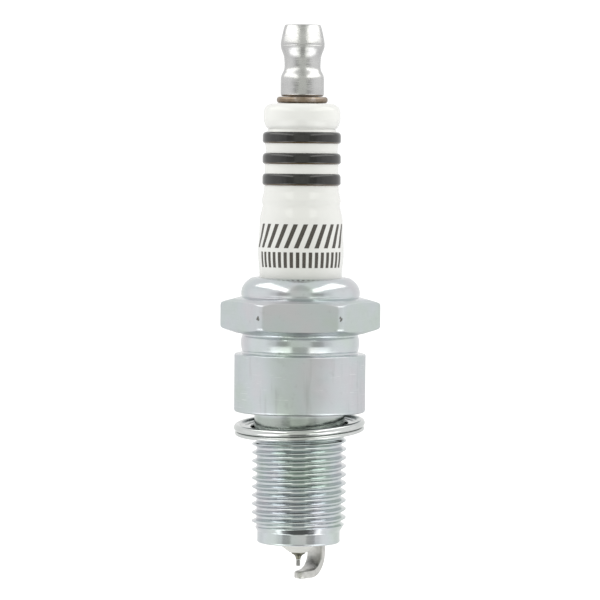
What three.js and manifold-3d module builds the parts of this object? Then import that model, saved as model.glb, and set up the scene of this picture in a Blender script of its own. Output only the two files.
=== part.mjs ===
// Resistor spark plug with a 14 mm thread of 19 mm reach, a folded gasket and a fine-wire tip.
// Units are millimetres. The origin is on the axis, in the plane of the gasket seat, and +Z runs
// along the axis towards the terminal. Every turned outline is a list of [radius, z] points.
import * as THREE from "three";
import { mergeVertices } from "three/addons/utils/BufferGeometryUtils.js";
import Module from "manifold-3d";

const wasm = await Module();
wasm.setup();

// Facets around each kind of turned piece.
const OUTER_SIDES = 32;
const CORE_SIDES = 16;

// Radial room between neighbouring pieces.
const FIT = 0.05;
const CERAMIC_FIT = 0.15;

// How far solids that are joined reach into each other, and how far a cut runs past what it cuts.
const OVERLAP = 0.3;
const CUT_PAST = 1;

// Mounting thread, M14 x 1.25, rolled on a neck of its pitch diameter; the nominal reach is 19. Its
// form is a list of corners, each with its share of the pitch and its radius, and its phase is the
// height at which a root crosses the +X side.
const REACH = 19.15;
const THREAD_PITCH = 1.25;
const THREAD_CREST_R = 6.9;
const THREAD_ROOT_R = 6.2;
const THREAD_FORM = [
  [0, THREAD_ROOT_R],
  [1 / 4, THREAD_ROOT_R],
  [9 / 16, THREAD_CREST_R],
  [11 / 16, THREAD_CREST_R],
];
const THREAD_FIRST_Z = -17.5;
const THREAD_PHASE_Z = -18.64;
const THREAD_LAST_Z = -3.7;
const NECK_R = 6.6;
const NECK_HEIGHT = 3.5;
const END_COLLAR_R = 6.05;
const END_COLLAR_EDGE = 0.2;

// Shell: barrel, buckled groove, hexagon and crimped rim.
const BARREL_R = 9.58;
const BARREL_TOP_Z = 8.5;
const BARREL_EDGE = 0.45;
const GROOVE_R = 8.46;
const GROOVE_BULGE = 0.2;
const GROOVE_BULGE_HEIGHT = 1.6;
const HEX_ACROSS_FLATS = 20.8;
const HEX_TURNED_R = 11.67;
const HEX_BOTTOM_Z = 11.35;
const HEX_TOP_Z = 16.8;
const HEX_LOWER_CHAMFER_Z = 12.3;
const HEX_UPPER_CHAMFER_Z = 15.95;
const RIM_R = 8.66;
const RIM_CURVE_R = 2;
const RIM_TOP_Z = 19.65;
const RIM_MOUTH_R = 6.2;

// Shell bore, from the firing end up.
const NOSE_BORE_R = 4.4;
const LEDGE_R = 4.05;
const LEDGE_BOTTOM_Z = -10;
const LEDGE_TOP_Z = -8.9;
const MID_BORE_R = 5.15;
const MID_BORE_BOTTOM_Z = -8;
const MID_BORE_TOP_Z = 0.6;
const WIDE_BORE_R = 7.3;
const WIDE_BORE_BOTTOM_Z = 1.8;
const WIDE_BORE_TOP_Z = 17.9;

// Insulator.
const INSULATOR_TOP_Z = 45.05;
const INSULATOR_NECK_R = 6.04;
const FLANGE_R = WIDE_BORE_R - 0.1;
const FLANGE_BOTTOM_Z = 2.3;
const FLANGE_TOP_Z = 9.6;
const NOSE_TIP_Z = -20.6;
const NOSE_TOP_R = 3.85;
const NOSE_END_R = 2.7;
const NOSE_END_HEIGHT = 0.7;
const FLANGE_UNDER_SLOPE = 1.3;
const FLANGE_SHOULDER_SLOPE = 1.1;
const SWELL = [[6.09, 21.2], [6.26, 23.3], [6.1, 25.3], [6.07, 27.7]];
const TAPER = [[5.9, 28.9], [5.67, 30.1], [5.74, 30.9], [5.45, 32.2]];
const CROWN_R = 5.6;
const CROWN_CURVE_R = 1.3;
const CROWN_FOOT = [5.41, 42.06];
const BORE_R = 2.05;
const BORE_STEP_Z = -3.2;
const BORE_STEP_HEIGHT = 0.8;
const TIP_BORE_R = 1.25;

// Corrugated top of the insulator: three ribs, each with a fired band of dark glaze on it and a
// groove above it, listed upwards.
const BAND_R = 5.68;
const BAND_THICKNESS = 0.15;
const BAND_EDGE = 0.2;
const BANDS = [
  { name: "glaze_band_lower", bottomZ: 33.16, topZ: 34.85, grooveR: 5.36 },
  { name: "glaze_band_middle", bottomZ: 36.25, topZ: 37.85, grooveR: 5.22 },
  { name: "glaze_band_upper", bottomZ: 39.26, topZ: 40.92, grooveR: 4.92 },
];
const RIB_R = BAND_R - BAND_THICKNESS - 0.03;
const RIB_LIP = 0.1;
const GROOVE_START = 0.5;
const GROOVE_END = 0.9;

// Packing between the shell and the insulator.
const PACKING_WIRE_R = 0.5;
const WIRE_FACETS = 8;
const PACKING_RING_R = 6.67;
const LOWER_RING_Z = 11.15;
const UPPER_RING_Z = 17.25;
const TALC_BOTTOM_Z = 11.7;
const TALC_TOP_Z = 16.7;
const SEAT_PACKING_INNER_R = 4.15;
const SEAT_PACKING_OUTER_R = 5.05;
const SEAT_PACKING_LOW = 0.07;
const SEAT_PACKING_HIGH = 0.6;
const STEP_ABOVE_LEDGE = 0.68;

// Terminal stud (M4 x 0.7 above its collar) and the removable terminal nut.
const STUD_PITCH = 0.7;
const STUD_CREST_R = 1.97;
const STUD_ROOT_R = 1.57;
const STUD_END_Z = 56.1;
const COLLAR_R = 3.71;
const COLLAR_BOTTOM_Z = 45.15;
const COLLAR_TOP_Z = 46.05;
const COLLAR_EDGE = 0.2;
const STEM_R = 1.95;
const STUD_TIP_Z = 8.15;
const STUD_GRIP_Z = 14;
const STUD_GRIP_R = 1.7;
const STUD_GRIP_GROOVES = 4;
const STUD_GRIP_DEPTH = 0.2;
const STUD_CHAMFER = 0.5;
const NUT_BOTTOM_Z = 46.1;
const NUT_TOP_Z = 56.5;
const NUT_R = 3.15;
const NUT_EDGE = 0.2;
const NUT_SHOULDER_Z = 48.7;
const NUT_CROWN_R = 3.2;
const NUT_WAIST_R = 2.62;
const NUT_WAIST_CURVE = [
  [2.92, 49.5],
  [NUT_WAIST_R, 50.4],
  [2.68, 51.6],
  [2.92, 52.45],
  [NUT_CROWN_R, 53.55],
];
const NUT_CROWN_FALL = [[2.97, 55], [2.68, 56.2]];
const NUT_TOP_R = 2.6;
const NUT_BORE_R = 2.05;
const NUT_COUNTERSINK = 0.2;

// Conductors inside the insulator.
const GLASS_R = 2;
const UPPER_GLASS_BOTTOM_Z = 6.1;
const UPPER_GLASS_TOP_Z = 11;
const RESISTOR_BOTTOM_Z = -0.45;
const RESISTOR_TOP_Z = 6;
const LOWER_GLASS_BOTTOM_Z = -2.45;
const LOWER_GLASS_TOP_Z = -0.55;

// Centre electrode: nickel sheath, copper core, weld and iridium tip.
const HEAD_R = 1.8;
const HEAD_TOP_Z = -2.55;
const HEAD_BOTTOM_Z = -3.15;
const HEAD_SLOPE = 0.9;
const SHEATH_R = 1;
const SHEATH_SHOULDER_Z = -20.65;
const SHEATH_END_R = 0.45;
const SHEATH_CONE_END_Z = -21.24;
const SHEATH_END_Z = -21.55;
const CORE_R = 0.6;
const CORE_END_Z = -19.6;
const TIP_R = 0.3;
const TIP_WELD_R = 0.36;
const TIP_WELD_EDGE = 0.02;
const TIP_WELD_BOTTOM_Z = -21.74;
const TIP_END_Z = -22.6;

// Ground electrode: a flat bar welded on the shell's end face and bent over the tip.
const SPARK_GAP = 0.8;
const GROUND_AZIMUTH_DEG = 60;
const GROUND_ROOT_R = 5.15;
const GROUND_WIDTH = 2.6;
const GROUND_THICKNESS = 1.25;
const GROUND_BEND_R = 3.05;
const GROUND_PAST_AXIS = 0.3;
const GROUND_TIP_WIDTH = 1.4;
const GROUND_TAPER_START = 2.6;
const GROUND_WELD_HEIGHT = 0.3;
const GROUND_WELD_OVERHANG = 0.12;
const WELD_GAP = 0.02;
const BEND_SEGMENTS = 8;

// Gasket: a folded ring that hangs loose and tilted under the seat.
const GASKET_OUTER_R = 9.6;
const GASKET_INNER_R = 7.1;
const GASKET_THICKNESS = 1.65;
const GASKET_EDGE = 0.45;
const GASKET_INNER_EDGE = 0.25;
const GASKET_DISH_R = 8.6;
const GASKET_DISH_DEPTH = 0.4;
const GASKET_CENTRE_Z = -2.15;
const GASKET_TILT_FRONT_DEG = 3.7;
const GASKET_TILT_SIDE_DEG = 2.7;

function geometryOf(body) {
  const { vertProperties, triVerts } = body.getMesh();
  const geometry = new THREE.BufferGeometry();
  geometry.setAttribute("position", new THREE.BufferAttribute(vertProperties, 3));
  geometry.setIndex(new THREE.BufferAttribute(triVerts, 1));
  return geometry;
}

function solid(geometry) {
  geometry.deleteAttribute("normal");
  geometry.deleteAttribute("uv");
  const merged = mergeVertices(geometry, 1e-4);
  return new wasm.Manifold(new wasm.Mesh({
    numProp: 3,
    vertProperties: merged.attributes.position.array,
    triVerts: new Uint32Array(merged.index.array),
  }));
}

// A solid of revolution about Z. The outline runs up the outside.
function turned(outline, sides = OUTER_SIDES) {
  const points = outline.map(([r, z]) => new THREE.Vector2(r, z));
  return solid(new THREE.LatheGeometry(points, sides).rotateX(Math.PI / 2));
}

// A ring of revolution about Z, from an outline that runs up the outside and down the inside.
function ring(outline, sides) {
  return turned([...outline, outline[0]], sides);
}

function arc(centreR, centreZ, radius, fromDeg, toDeg, steps) {
  const points = [];
  for (let i = 0; i <= steps; i += 1) {
    const angle = THREE.MathUtils.degToRad(fromDeg + ((toDeg - fromDeg) * i) / steps);
    points.push([centreR + radius * Math.cos(angle), centreZ + radius * Math.sin(angle)]);
  }
  return points;
}

// A smooth outline through a few points.
function flowing(points, steps) {
  const curve = new THREE.SplineCurve(points.map(([r, z]) => new THREE.Vector2(r, z)));
  return curve.getPoints(steps).map((p) => [p.x, p.y]);
}

// A right-hand screw as one closed surface. Each corner is [share of the pitch, radius]. The grid's
// last column meets the first one pitch higher, and a fan closes each end.
function screw(corners, pitch, fromZ, toZ, sides) {
  const perTurn = corners.length;
  const rows = perTurn * (Math.ceil((toZ - fromZ) / pitch) + 1);
  const positions = [];
  const triangles = [];
  const index = new Map();

  function vertex(row, column) {
    const wrapped = column === sides;
    const key = wrapped ? `${row + perTurn},0` : `${row},${column}`;
    if (!index.has(key)) {
      const [share, radius] = corners[row % perTurn];
      const angle = (2 * Math.PI * column) / sides;
      const z = fromZ - pitch + pitch * (Math.floor(row / perTurn) + share + column / sides);
      index.set(key, positions.length / 3);
      positions.push(radius * Math.cos(angle), radius * Math.sin(angle), z);
    }
    return index.get(key);
  }

  for (let column = 0; column < sides; column += 1) {
    for (let row = 0; row < rows; row += 1) {
      const a = vertex(row, column);
      const b = vertex(row, column + 1);
      const c = vertex(row + 1, column + 1);
      const d = vertex(row + 1, column);
      triangles.push(a, b, c, a, c, d);
    }
  }

  function close(row, facesUp) {
    const loop = [];
    for (let column = 0; column < sides; column += 1) {
      loop.push(vertex(row, column));
    }
    for (let step = perTurn; step > 0; step -= 1) {
      loop.push(vertex(row + step, 0));
    }
    const centre = positions.length / 3;
    positions.push(0, 0, positions[3 * loop[0] + 2] + pitch / 2);
    loop.forEach((current, i) => {
      const next = loop[(i + 1) % loop.length];
      triangles.push(centre, ...(facesUp ? [current, next] : [next, current]));
    });
  }

  close(0, false);
  close(rows, true);
  const geometry = new THREE.BufferGeometry();
  geometry.setAttribute("position", new THREE.Float32BufferAttribute(positions, 3));
  geometry.setIndex(triangles);
  return solid(geometry);
}

function finish(color, roughness, metalness) {
  return new THREE.MeshStandardMaterial({ color, roughness, metalness });
}

const ZINC = finish(0xbcc4c8, 0.34, 1);
const NICKEL_PLATE = finish(0xc9c9c6, 0.3, 1);
const TINTED_STEEL = finish(0x8a7869, 0.4, 1);
const NICKEL_ALLOY = finish(0xb4b2ac, 0.4, 1);
const SHEATH_NICKEL = finish(0x85836f, 0.45, 1);
const IRIDIUM = finish(0xd0d0cc, 0.3, 1);
const COPPER = finish(0xb87333, 0.35, 1);
const GASKET_STEEL = finish(0xc2c6c8, 0.32, 1);
const GLAZED_WHITE = finish(0xf2f1ec, 0.16, 0);
const DARK_GLAZE = finish(0x2a2a2b, 0.2, 0);
const TALC = finish(0xd9d6cc, 0.9, 0);
const CARBON_GLASS = finish(0x3a3733, 0.5, 0);
const COPPER_GLASS = finish(0x6e4a35, 0.5, 0.3);
const MILD_STEEL = finish(0x9a9d9f, 0.45, 1);

const plug = new THREE.Group();

function add(name, body, material, group = plug) {
  const mesh = new THREE.Mesh(geometryOf(body), material);
  mesh.name = name;
  group.add(mesh);
  return mesh;
}

// --- Shell ---------------------------------------------------------------------------------

function hexagon() {
  const outline = new THREE.Shape();
  const cornerR = HEX_ACROSS_FLATS / Math.sqrt(3);
  for (let i = 0; i < 6; i += 1) {
    const angle = (i * Math.PI) / 3;
    outline[i ? "lineTo" : "moveTo"](cornerR * Math.cos(angle), cornerR * Math.sin(angle));
  }
  const options = { depth: HEX_TOP_Z - HEX_BOTTOM_Z + 2 * CUT_PAST, bevelEnabled: false };
  const prism = solid(new THREE.ExtrudeGeometry(outline, options).translate(0, 0, HEX_BOTTOM_Z - CUT_PAST));
  const hiddenR = GROOVE_R - OVERLAP;
  const slope = (HEX_LOWER_CHAMFER_Z - HEX_BOTTOM_Z) / (HEX_TURNED_R - hiddenR);
  const blank = turned([
    [0, HEX_BOTTOM_Z],
    [hiddenR, HEX_BOTTOM_Z],
    [BARREL_R, HEX_BOTTOM_Z + slope * (BARREL_R - hiddenR)],
    [HEX_TURNED_R, HEX_LOWER_CHAMFER_Z],
    [HEX_TURNED_R, HEX_UPPER_CHAMFER_Z],
    [RIM_R, HEX_TOP_Z],
    [0, HEX_TOP_Z],
  ]);
  return prism.intersect(blank);
}

function shellBlank() {
  const hiddenR = GROOVE_R - OVERLAP;
  const coreR = THREAD_ROOT_R - OVERLAP;
  return turned([
    [0, -REACH],
    [END_COLLAR_R - END_COLLAR_EDGE, -REACH],
    [END_COLLAR_R, -REACH + END_COLLAR_EDGE],
    [END_COLLAR_R, THREAD_FIRST_Z + OVERLAP],
    [coreR, THREAD_FIRST_Z + 2 * OVERLAP],
    [coreR, -NECK_HEIGHT - OVERLAP],
    [NECK_R, -NECK_HEIGHT],
    [NECK_R, 0],
    ...arc(BARREL_R - BARREL_EDGE, BARREL_EDGE, BARREL_EDGE, -90, 0, 3),
    [BARREL_R, BARREL_TOP_Z],
    [GROOVE_R, BARREL_TOP_Z + BARREL_EDGE],
    [GROOVE_R + GROOVE_BULGE, BARREL_TOP_Z + GROOVE_BULGE_HEIGHT],
    [GROOVE_R, HEX_BOTTOM_Z],
    [hiddenR, HEX_BOTTOM_Z + OVERLAP],
    [hiddenR, HEX_TOP_Z - OVERLAP],
    [RIM_R, HEX_TOP_Z],
    ...arc(RIM_R - RIM_CURVE_R, RIM_TOP_Z - RIM_CURVE_R, RIM_CURVE_R, 0, 90, 7),
    [0, RIM_TOP_Z],
  ]);
}

function shellBore() {
  const rimUnderZ = (WIDE_BORE_TOP_Z + RIM_TOP_Z) / 2;
  return turned([
    [0, -REACH - CUT_PAST],
    [NOSE_BORE_R, -REACH - CUT_PAST],
    [NOSE_BORE_R, LEDGE_BOTTOM_Z - (NOSE_BORE_R - LEDGE_R)],
    [LEDGE_R, LEDGE_BOTTOM_Z],
    [LEDGE_R, LEDGE_TOP_Z],
    [MID_BORE_R, MID_BORE_BOTTOM_Z],
    [MID_BORE_R, MID_BORE_TOP_Z],
    [WIDE_BORE_R, WIDE_BORE_BOTTOM_Z],
    [WIDE_BORE_R, WIDE_BORE_TOP_Z],
    [RIM_MOUTH_R, rimUnderZ],
    [RIM_MOUTH_R, RIM_TOP_Z + CUT_PAST],
    [0, RIM_TOP_Z + CUT_PAST],
  ]);
}

function mountingThread() {
  const rod = screw(THREAD_FORM, THREAD_PITCH, THREAD_PHASE_Z, THREAD_LAST_Z, OUTER_SIDES);
  const clearR = THREAD_CREST_R + OVERLAP;
  const chamfer = clearR - END_COLLAR_R;
  const envelope = turned([
    [0, THREAD_FIRST_Z],
    [END_COLLAR_R - FIT, THREAD_FIRST_Z],
    [clearR, THREAD_FIRST_Z + chamfer],
    [clearR, THREAD_LAST_Z - OVERLAP],
    [NECK_R - 2 * FIT, THREAD_LAST_Z + OVERLAP],
    [0, THREAD_LAST_Z + OVERLAP],
  ]);
  return rod.intersect(envelope);
}

add("shell", shellBlank().add(hexagon()).add(mountingThread()).subtract(shellBore()), ZINC);

// --- Insulator and its glaze bands ----------------------------------------------------------

function ledgeZ(radius) {
  const slope = (LEDGE_TOP_Z - MID_BORE_BOTTOM_Z) / (LEDGE_R - MID_BORE_R);
  return MID_BORE_BOTTOM_Z + (radius - MID_BORE_R) * slope;
}

function corrugations() {
  return BANDS.flatMap(({ bottomZ, topZ, grooveR }) => [
    [RIB_R, bottomZ - RIB_LIP],
    [RIB_R, topZ + RIB_LIP],
    [grooveR, topZ + GROOVE_START],
    [grooveR, topZ + GROOVE_END],
  ]);
}

function insulator() {
  const midR = MID_BORE_R - CERAMIC_FIT;
  const body = turned([
    [0, NOSE_TIP_Z],
    [NOSE_END_R - NOSE_END_HEIGHT, NOSE_TIP_Z],
    [NOSE_END_R, NOSE_TIP_Z + NOSE_END_HEIGHT],
    [NOSE_TOP_R, ledgeZ(NOSE_TOP_R) + STEP_ABOVE_LEDGE],
    [midR, ledgeZ(midR) + STEP_ABOVE_LEDGE],
    [midR, FLANGE_BOTTOM_Z - FLANGE_UNDER_SLOPE],
    [FLANGE_R, FLANGE_BOTTOM_Z],
    [FLANGE_R, FLANGE_TOP_Z],
    [INSULATOR_NECK_R, FLANGE_TOP_Z + FLANGE_SHOULDER_SLOPE],
    [INSULATOR_NECK_R, RIM_TOP_Z],
    ...flowing(SWELL, 5),
    ...flowing(TAPER, 5),
    ...corrugations(),
    CROWN_FOOT,
    ...arc(CROWN_R - CROWN_CURVE_R, INSULATOR_TOP_Z - CROWN_CURVE_R, CROWN_CURVE_R, -20, 90, 6),
    [0, INSULATOR_TOP_Z],
  ]);
  const bore = turned([
    [0, NOSE_TIP_Z - CUT_PAST],
    [TIP_BORE_R, NOSE_TIP_Z - CUT_PAST],
    [TIP_BORE_R, BORE_STEP_Z - BORE_STEP_HEIGHT],
    [BORE_R, BORE_STEP_Z],
    [BORE_R, INSULATOR_TOP_Z + CUT_PAST],
    [0, INSULATOR_TOP_Z + CUT_PAST],
  ], CORE_SIDES);
  return body.subtract(bore);
}

function glazeBand({ bottomZ, topZ }) {
  const innerR = BAND_R - BAND_THICKNESS;
  return ring([
    [innerR, bottomZ],
    [BAND_R - BAND_EDGE / 2, bottomZ],
    [BAND_R, bottomZ + BAND_EDGE],
    [BAND_R, topZ - BAND_EDGE],
    [BAND_R - BAND_EDGE / 2, topZ],
    [innerR, topZ],
  ]);
}

add("insulator", insulator(), GLAZED_WHITE);
BANDS.forEach((band) => add(band.name, glazeBand(band), DARK_GLAZE));

// --- Packing between shell and insulator ----------------------------------------------------

function packingRing(z) {
  const lastDeg = 270 - 360 / WIRE_FACETS;
  return ring(arc(PACKING_RING_R, z, PACKING_WIRE_R, -90, lastDeg, WIRE_FACETS - 1));
}

function talcSeal() {
  return ring([
    [INSULATOR_NECK_R + FIT, TALC_BOTTOM_Z],
    [FLANGE_R, TALC_BOTTOM_Z],
    [FLANGE_R, TALC_TOP_Z],
    [INSULATOR_NECK_R + FIT, TALC_TOP_Z],
  ]);
}

function seatPacking() {
  return ring([
    [SEAT_PACKING_INNER_R, ledgeZ(SEAT_PACKING_INNER_R) + SEAT_PACKING_LOW],
    [SEAT_PACKING_OUTER_R, ledgeZ(SEAT_PACKING_OUTER_R) + SEAT_PACKING_LOW],
    [SEAT_PACKING_OUTER_R, ledgeZ(SEAT_PACKING_OUTER_R) + SEAT_PACKING_HIGH],
    [SEAT_PACKING_INNER_R, ledgeZ(SEAT_PACKING_INNER_R) + SEAT_PACKING_HIGH],
  ]);
}

add("packing_ring_upper", packingRing(UPPER_RING_Z), MILD_STEEL);
add("talc_seal", talcSeal(), TALC);
add("packing_ring_lower", packingRing(LOWER_RING_Z), MILD_STEEL);
add("seat_packing", seatPacking(), MILD_STEEL);

// --- Terminal stud and nut ------------------------------------------------------------------

function studGrip() {
  const pitch = (STUD_GRIP_Z - STUD_TIP_Z) / STUD_GRIP_GROOVES;
  const points = [];
  for (let i = 0; i < STUD_GRIP_GROOVES; i += 1) {
    const z = STUD_TIP_Z + i * pitch;
    points.push([STUD_GRIP_R - STUD_GRIP_DEPTH, z]);
    points.push([STUD_GRIP_R, z + 0.3 * pitch]);
    points.push([STUD_GRIP_R, z + 0.8 * pitch]);
  }
  return points;
}

function terminalStud() {
  const coreR = STUD_ROOT_R - 2 * FIT;
  const body = turned([
    [0, STUD_TIP_Z],
    ...studGrip(),
    [STUD_GRIP_R - STUD_GRIP_DEPTH, STUD_GRIP_Z],
    [STEM_R, STUD_GRIP_Z + STEM_R - STUD_GRIP_R + STUD_GRIP_DEPTH],
    [STEM_R, COLLAR_BOTTOM_Z],
    [COLLAR_R - COLLAR_EDGE, COLLAR_BOTTOM_Z],
    [COLLAR_R, COLLAR_BOTTOM_Z + COLLAR_EDGE],
    [COLLAR_R, COLLAR_TOP_Z - COLLAR_EDGE],
    [COLLAR_R - COLLAR_EDGE, COLLAR_TOP_Z],
    [coreR, COLLAR_TOP_Z],
    [coreR, STUD_END_Z - STUD_CHAMFER],
    [0, STUD_END_Z - STUD_CHAMFER],
  ], CORE_SIDES);
  const corners = [[0, STUD_ROOT_R], [1 / 2, STUD_CREST_R]];
  const rod = screw(corners, STUD_PITCH, COLLAR_TOP_Z, STUD_END_Z, CORE_SIDES);
  const envelope = turned([
    [0, COLLAR_TOP_Z - FIT],
    [STUD_CREST_R + FIT, COLLAR_TOP_Z - FIT],
    [STUD_CREST_R + FIT, STUD_END_Z - STUD_CHAMFER],
    [coreR, STUD_END_Z],
    [0, STUD_END_Z],
  ], CORE_SIDES);
  return body.add(rod.intersect(envelope));
}

function terminalNut() {
  return ring([
    [NUT_R - NUT_EDGE, NUT_BOTTOM_Z],
    [NUT_R, NUT_BOTTOM_Z + NUT_EDGE],
    [NUT_R, NUT_SHOULDER_Z],
    ...flowing(NUT_WAIST_CURVE, 8),
    ...NUT_CROWN_FALL,
    [NUT_TOP_R, NUT_TOP_Z],
    [NUT_BORE_R + NUT_COUNTERSINK, NUT_TOP_Z],
    [NUT_BORE_R, NUT_TOP_Z - NUT_COUNTERSINK],
    [NUT_BORE_R, NUT_BOTTOM_Z + NUT_COUNTERSINK],
    [NUT_BORE_R + NUT_COUNTERSINK, NUT_BOTTOM_Z],
  ]);
}

add("terminal_stud", terminalStud(), TINTED_STEEL);
add("terminal_nut", terminalNut(), NICKEL_PLATE);

// --- Glass seals and resistor ---------------------------------------------------------------

function rod(radius, bottomZ, topZ) {
  return turned([[0, bottomZ], [radius, bottomZ], [radius, topZ], [0, topZ]], CORE_SIDES);
}

function upperGlass() {
  const pocketR = STUD_GRIP_R + FIT;
  const pocketZ = STUD_TIP_Z - FIT;
  return turned([
    [0, UPPER_GLASS_BOTTOM_Z],
    [GLASS_R, UPPER_GLASS_BOTTOM_Z],
    [GLASS_R, UPPER_GLASS_TOP_Z],
    [pocketR, UPPER_GLASS_TOP_Z],
    [pocketR, pocketZ],
    [0, pocketZ],
  ], CORE_SIDES);
}

add("glass_seal_upper", upperGlass(), COPPER_GLASS);
add("resistor", rod(GLASS_R, RESISTOR_BOTTOM_Z, RESISTOR_TOP_Z), CARBON_GLASS);
add("glass_seal_lower", rod(GLASS_R, LOWER_GLASS_BOTTOM_Z, LOWER_GLASS_TOP_Z), COPPER_GLASS);

// --- Centre electrode -----------------------------------------------------------------------

function centreElectrode() {
  const pocketR = CORE_R + FIT;
  return turned([
    [0, SHEATH_END_Z],
    [TIP_WELD_R, SHEATH_END_Z],
    [SHEATH_END_R, SHEATH_CONE_END_Z],
    [SHEATH_R, SHEATH_SHOULDER_Z],
    [SHEATH_R, HEAD_BOTTOM_Z - HEAD_SLOPE],
    [HEAD_R, HEAD_BOTTOM_Z],
    [HEAD_R, HEAD_TOP_Z],
    [pocketR, HEAD_TOP_Z],
    [pocketR, CORE_END_Z - FIT],
    [0, CORE_END_Z - FIT],
  ], CORE_SIDES);
}

function tipWeld() {
  return turned([
    [0, TIP_WELD_BOTTOM_Z],
    [TIP_R + TIP_WELD_EDGE, TIP_WELD_BOTTOM_Z],
    [TIP_WELD_R, (TIP_WELD_BOTTOM_Z + SHEATH_END_Z) / 2],
    [TIP_WELD_R - TIP_WELD_EDGE, SHEATH_END_Z - WELD_GAP / 2],
    [0, SHEATH_END_Z - WELD_GAP / 2],
  ], CORE_SIDES);
}

add("centre_electrode", centreElectrode(), SHEATH_NICKEL);
add("centre_electrode_core", rod(CORE_R, CORE_END_Z, HEAD_TOP_Z), COPPER);
add("tip_weld", tipWeld(), NICKEL_ALLOY);
add("iridium_tip", rod(TIP_R, TIP_END_Z, TIP_WELD_BOTTOM_Z - WELD_GAP / 2), IRIDIUM);

// --- Ground electrode -----------------------------------------------------------------------

const GROUND_ROOT_Z = -REACH - GROUND_WELD_HEIGHT - 2 * WELD_GAP;
const GROUND_FACE_Z = TIP_END_Z - SPARK_GAP;
const GROUND_UNDER_Z = GROUND_FACE_Z - GROUND_THICKNESS;

// A plan outline that reaches from past the axis to the root, pushed up through the bar's height.
function groundTaper() {
  const halfWidth = GROUND_WIDTH / 2;
  const halfTip = GROUND_TIP_WIDTH / 2;
  const rootEnd = GROUND_ROOT_R + GROUND_THICKNESS;
  const plan = new THREE.Shape();
  plan.moveTo(-GROUND_PAST_AXIS, -halfTip);
  plan.lineTo(GROUND_TAPER_START, -halfWidth);
  plan.lineTo(rootEnd, -halfWidth);
  plan.lineTo(rootEnd, halfWidth);
  plan.lineTo(GROUND_TAPER_START, halfWidth);
  plan.lineTo(-GROUND_PAST_AXIS, halfTip);
  plan.closePath();
  const height = GROUND_ROOT_Z - GROUND_UNDER_Z + 2 * CUT_PAST;
  const prism = new THREE.ExtrudeGeometry(plan, { depth: height, bevelEnabled: false });
  return solid(prism.translate(0, 0, GROUND_UNDER_Z - CUT_PAST));
}

function groundElectrode() {
  const half = GROUND_THICKNESS / 2;
  const bendZ = GROUND_UNDER_Z + half + GROUND_BEND_R;
  const bendR = GROUND_ROOT_R - GROUND_BEND_R;
  const outerR = GROUND_BEND_R + half;
  const innerR = GROUND_BEND_R - half;
  const side = new THREE.Shape();
  side.moveTo(GROUND_ROOT_R - half, GROUND_ROOT_Z);
  side.lineTo(GROUND_ROOT_R - half, bendZ);
  side.absarc(bendR, bendZ, innerR, 0, -Math.PI / 2, true);
  side.lineTo(-2 * GROUND_PAST_AXIS, GROUND_FACE_Z);
  side.lineTo(-2 * GROUND_PAST_AXIS, GROUND_UNDER_Z);
  side.lineTo(bendR, GROUND_UNDER_Z);
  side.absarc(bendR, bendZ, outerR, -Math.PI / 2, 0, false);
  side.lineTo(GROUND_ROOT_R + half, GROUND_ROOT_Z);
  side.closePath();
  const options = { depth: 2 * GROUND_WIDTH, bevelEnabled: false, curveSegments: BEND_SEGMENTS };
  const strap = new THREE.ExtrudeGeometry(side, options).rotateX(Math.PI / 2);
  return solid(strap.translate(0, GROUND_WIDTH, 0)).intersect(groundTaper());
}

function groundWeld() {
  const over = GROUND_WELD_OVERHANG;
  const footprint = new THREE.Shape();
  const halfThick = GROUND_THICKNESS / 2 + over;
  const halfWide = GROUND_WIDTH / 2 + over;
  footprint.moveTo(GROUND_ROOT_R - halfThick, -halfWide);
  footprint.lineTo(GROUND_ROOT_R + halfThick, -halfWide);
  footprint.lineTo(GROUND_ROOT_R + halfThick, halfWide);
  footprint.lineTo(GROUND_ROOT_R - halfThick, halfWide);
  footprint.closePath();
  const pad = new THREE.ExtrudeGeometry(footprint, { depth: GROUND_WELD_HEIGHT, bevelEnabled: false });
  return solid(pad.translate(0, 0, -REACH - GROUND_WELD_HEIGHT - WELD_GAP));
}

const groundGroup = new THREE.Group();
groundGroup.rotation.z = THREE.MathUtils.degToRad(GROUND_AZIMUTH_DEG);
plug.add(groundGroup);
add("ground_electrode", groundElectrode(), NICKEL_ALLOY, groundGroup);
add("ground_weld", groundWeld(), NICKEL_ALLOY, groundGroup);

// --- Gasket ---------------------------------------------------------------------------------

function gasket() {
  const half = GASKET_THICKNESS / 2;
  const edge = GASKET_EDGE;
  const innerEdge = GASKET_INNER_EDGE;
  const flangeZ = half - GASKET_DISH_DEPTH;
  return ring([
    [GASKET_INNER_R + innerEdge, -half],
    ...arc(GASKET_OUTER_R - edge, -half + edge, edge, -90, 0, 2),
    ...arc(GASKET_OUTER_R - edge, half - edge, edge, 0, 90, 2),
    [GASKET_DISH_R, flangeZ],
    [GASKET_INNER_R + innerEdge, flangeZ],
    [GASKET_INNER_R, flangeZ - innerEdge],
    [GASKET_INNER_R, -half + innerEdge],
  ]);
}

const gasketGroup = new THREE.Group();
gasketGroup.position.z = GASKET_CENTRE_Z;
gasketGroup.rotation.x = THREE.MathUtils.degToRad(GASKET_TILT_FRONT_DEG);
gasketGroup.rotation.y = THREE.MathUtils.degToRad(-GASKET_TILT_SIDE_DEG);
plug.add(gasketGroup);
add("gasket", gasket(), GASKET_STEEL, gasketGroup);

export default plug;
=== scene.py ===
"""Looks of a 14 mm resistor spark plug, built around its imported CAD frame.

Outlines and sizes below are in millimetres, in the frame of the CAD model: the origin is on the axis
in the plane of the gasket seat, and +Z points to the terminal. Meshes are scaled to metres.
"""
import math

import bmesh
import bpy
from mathutils import Matrix, Vector, noise


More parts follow.
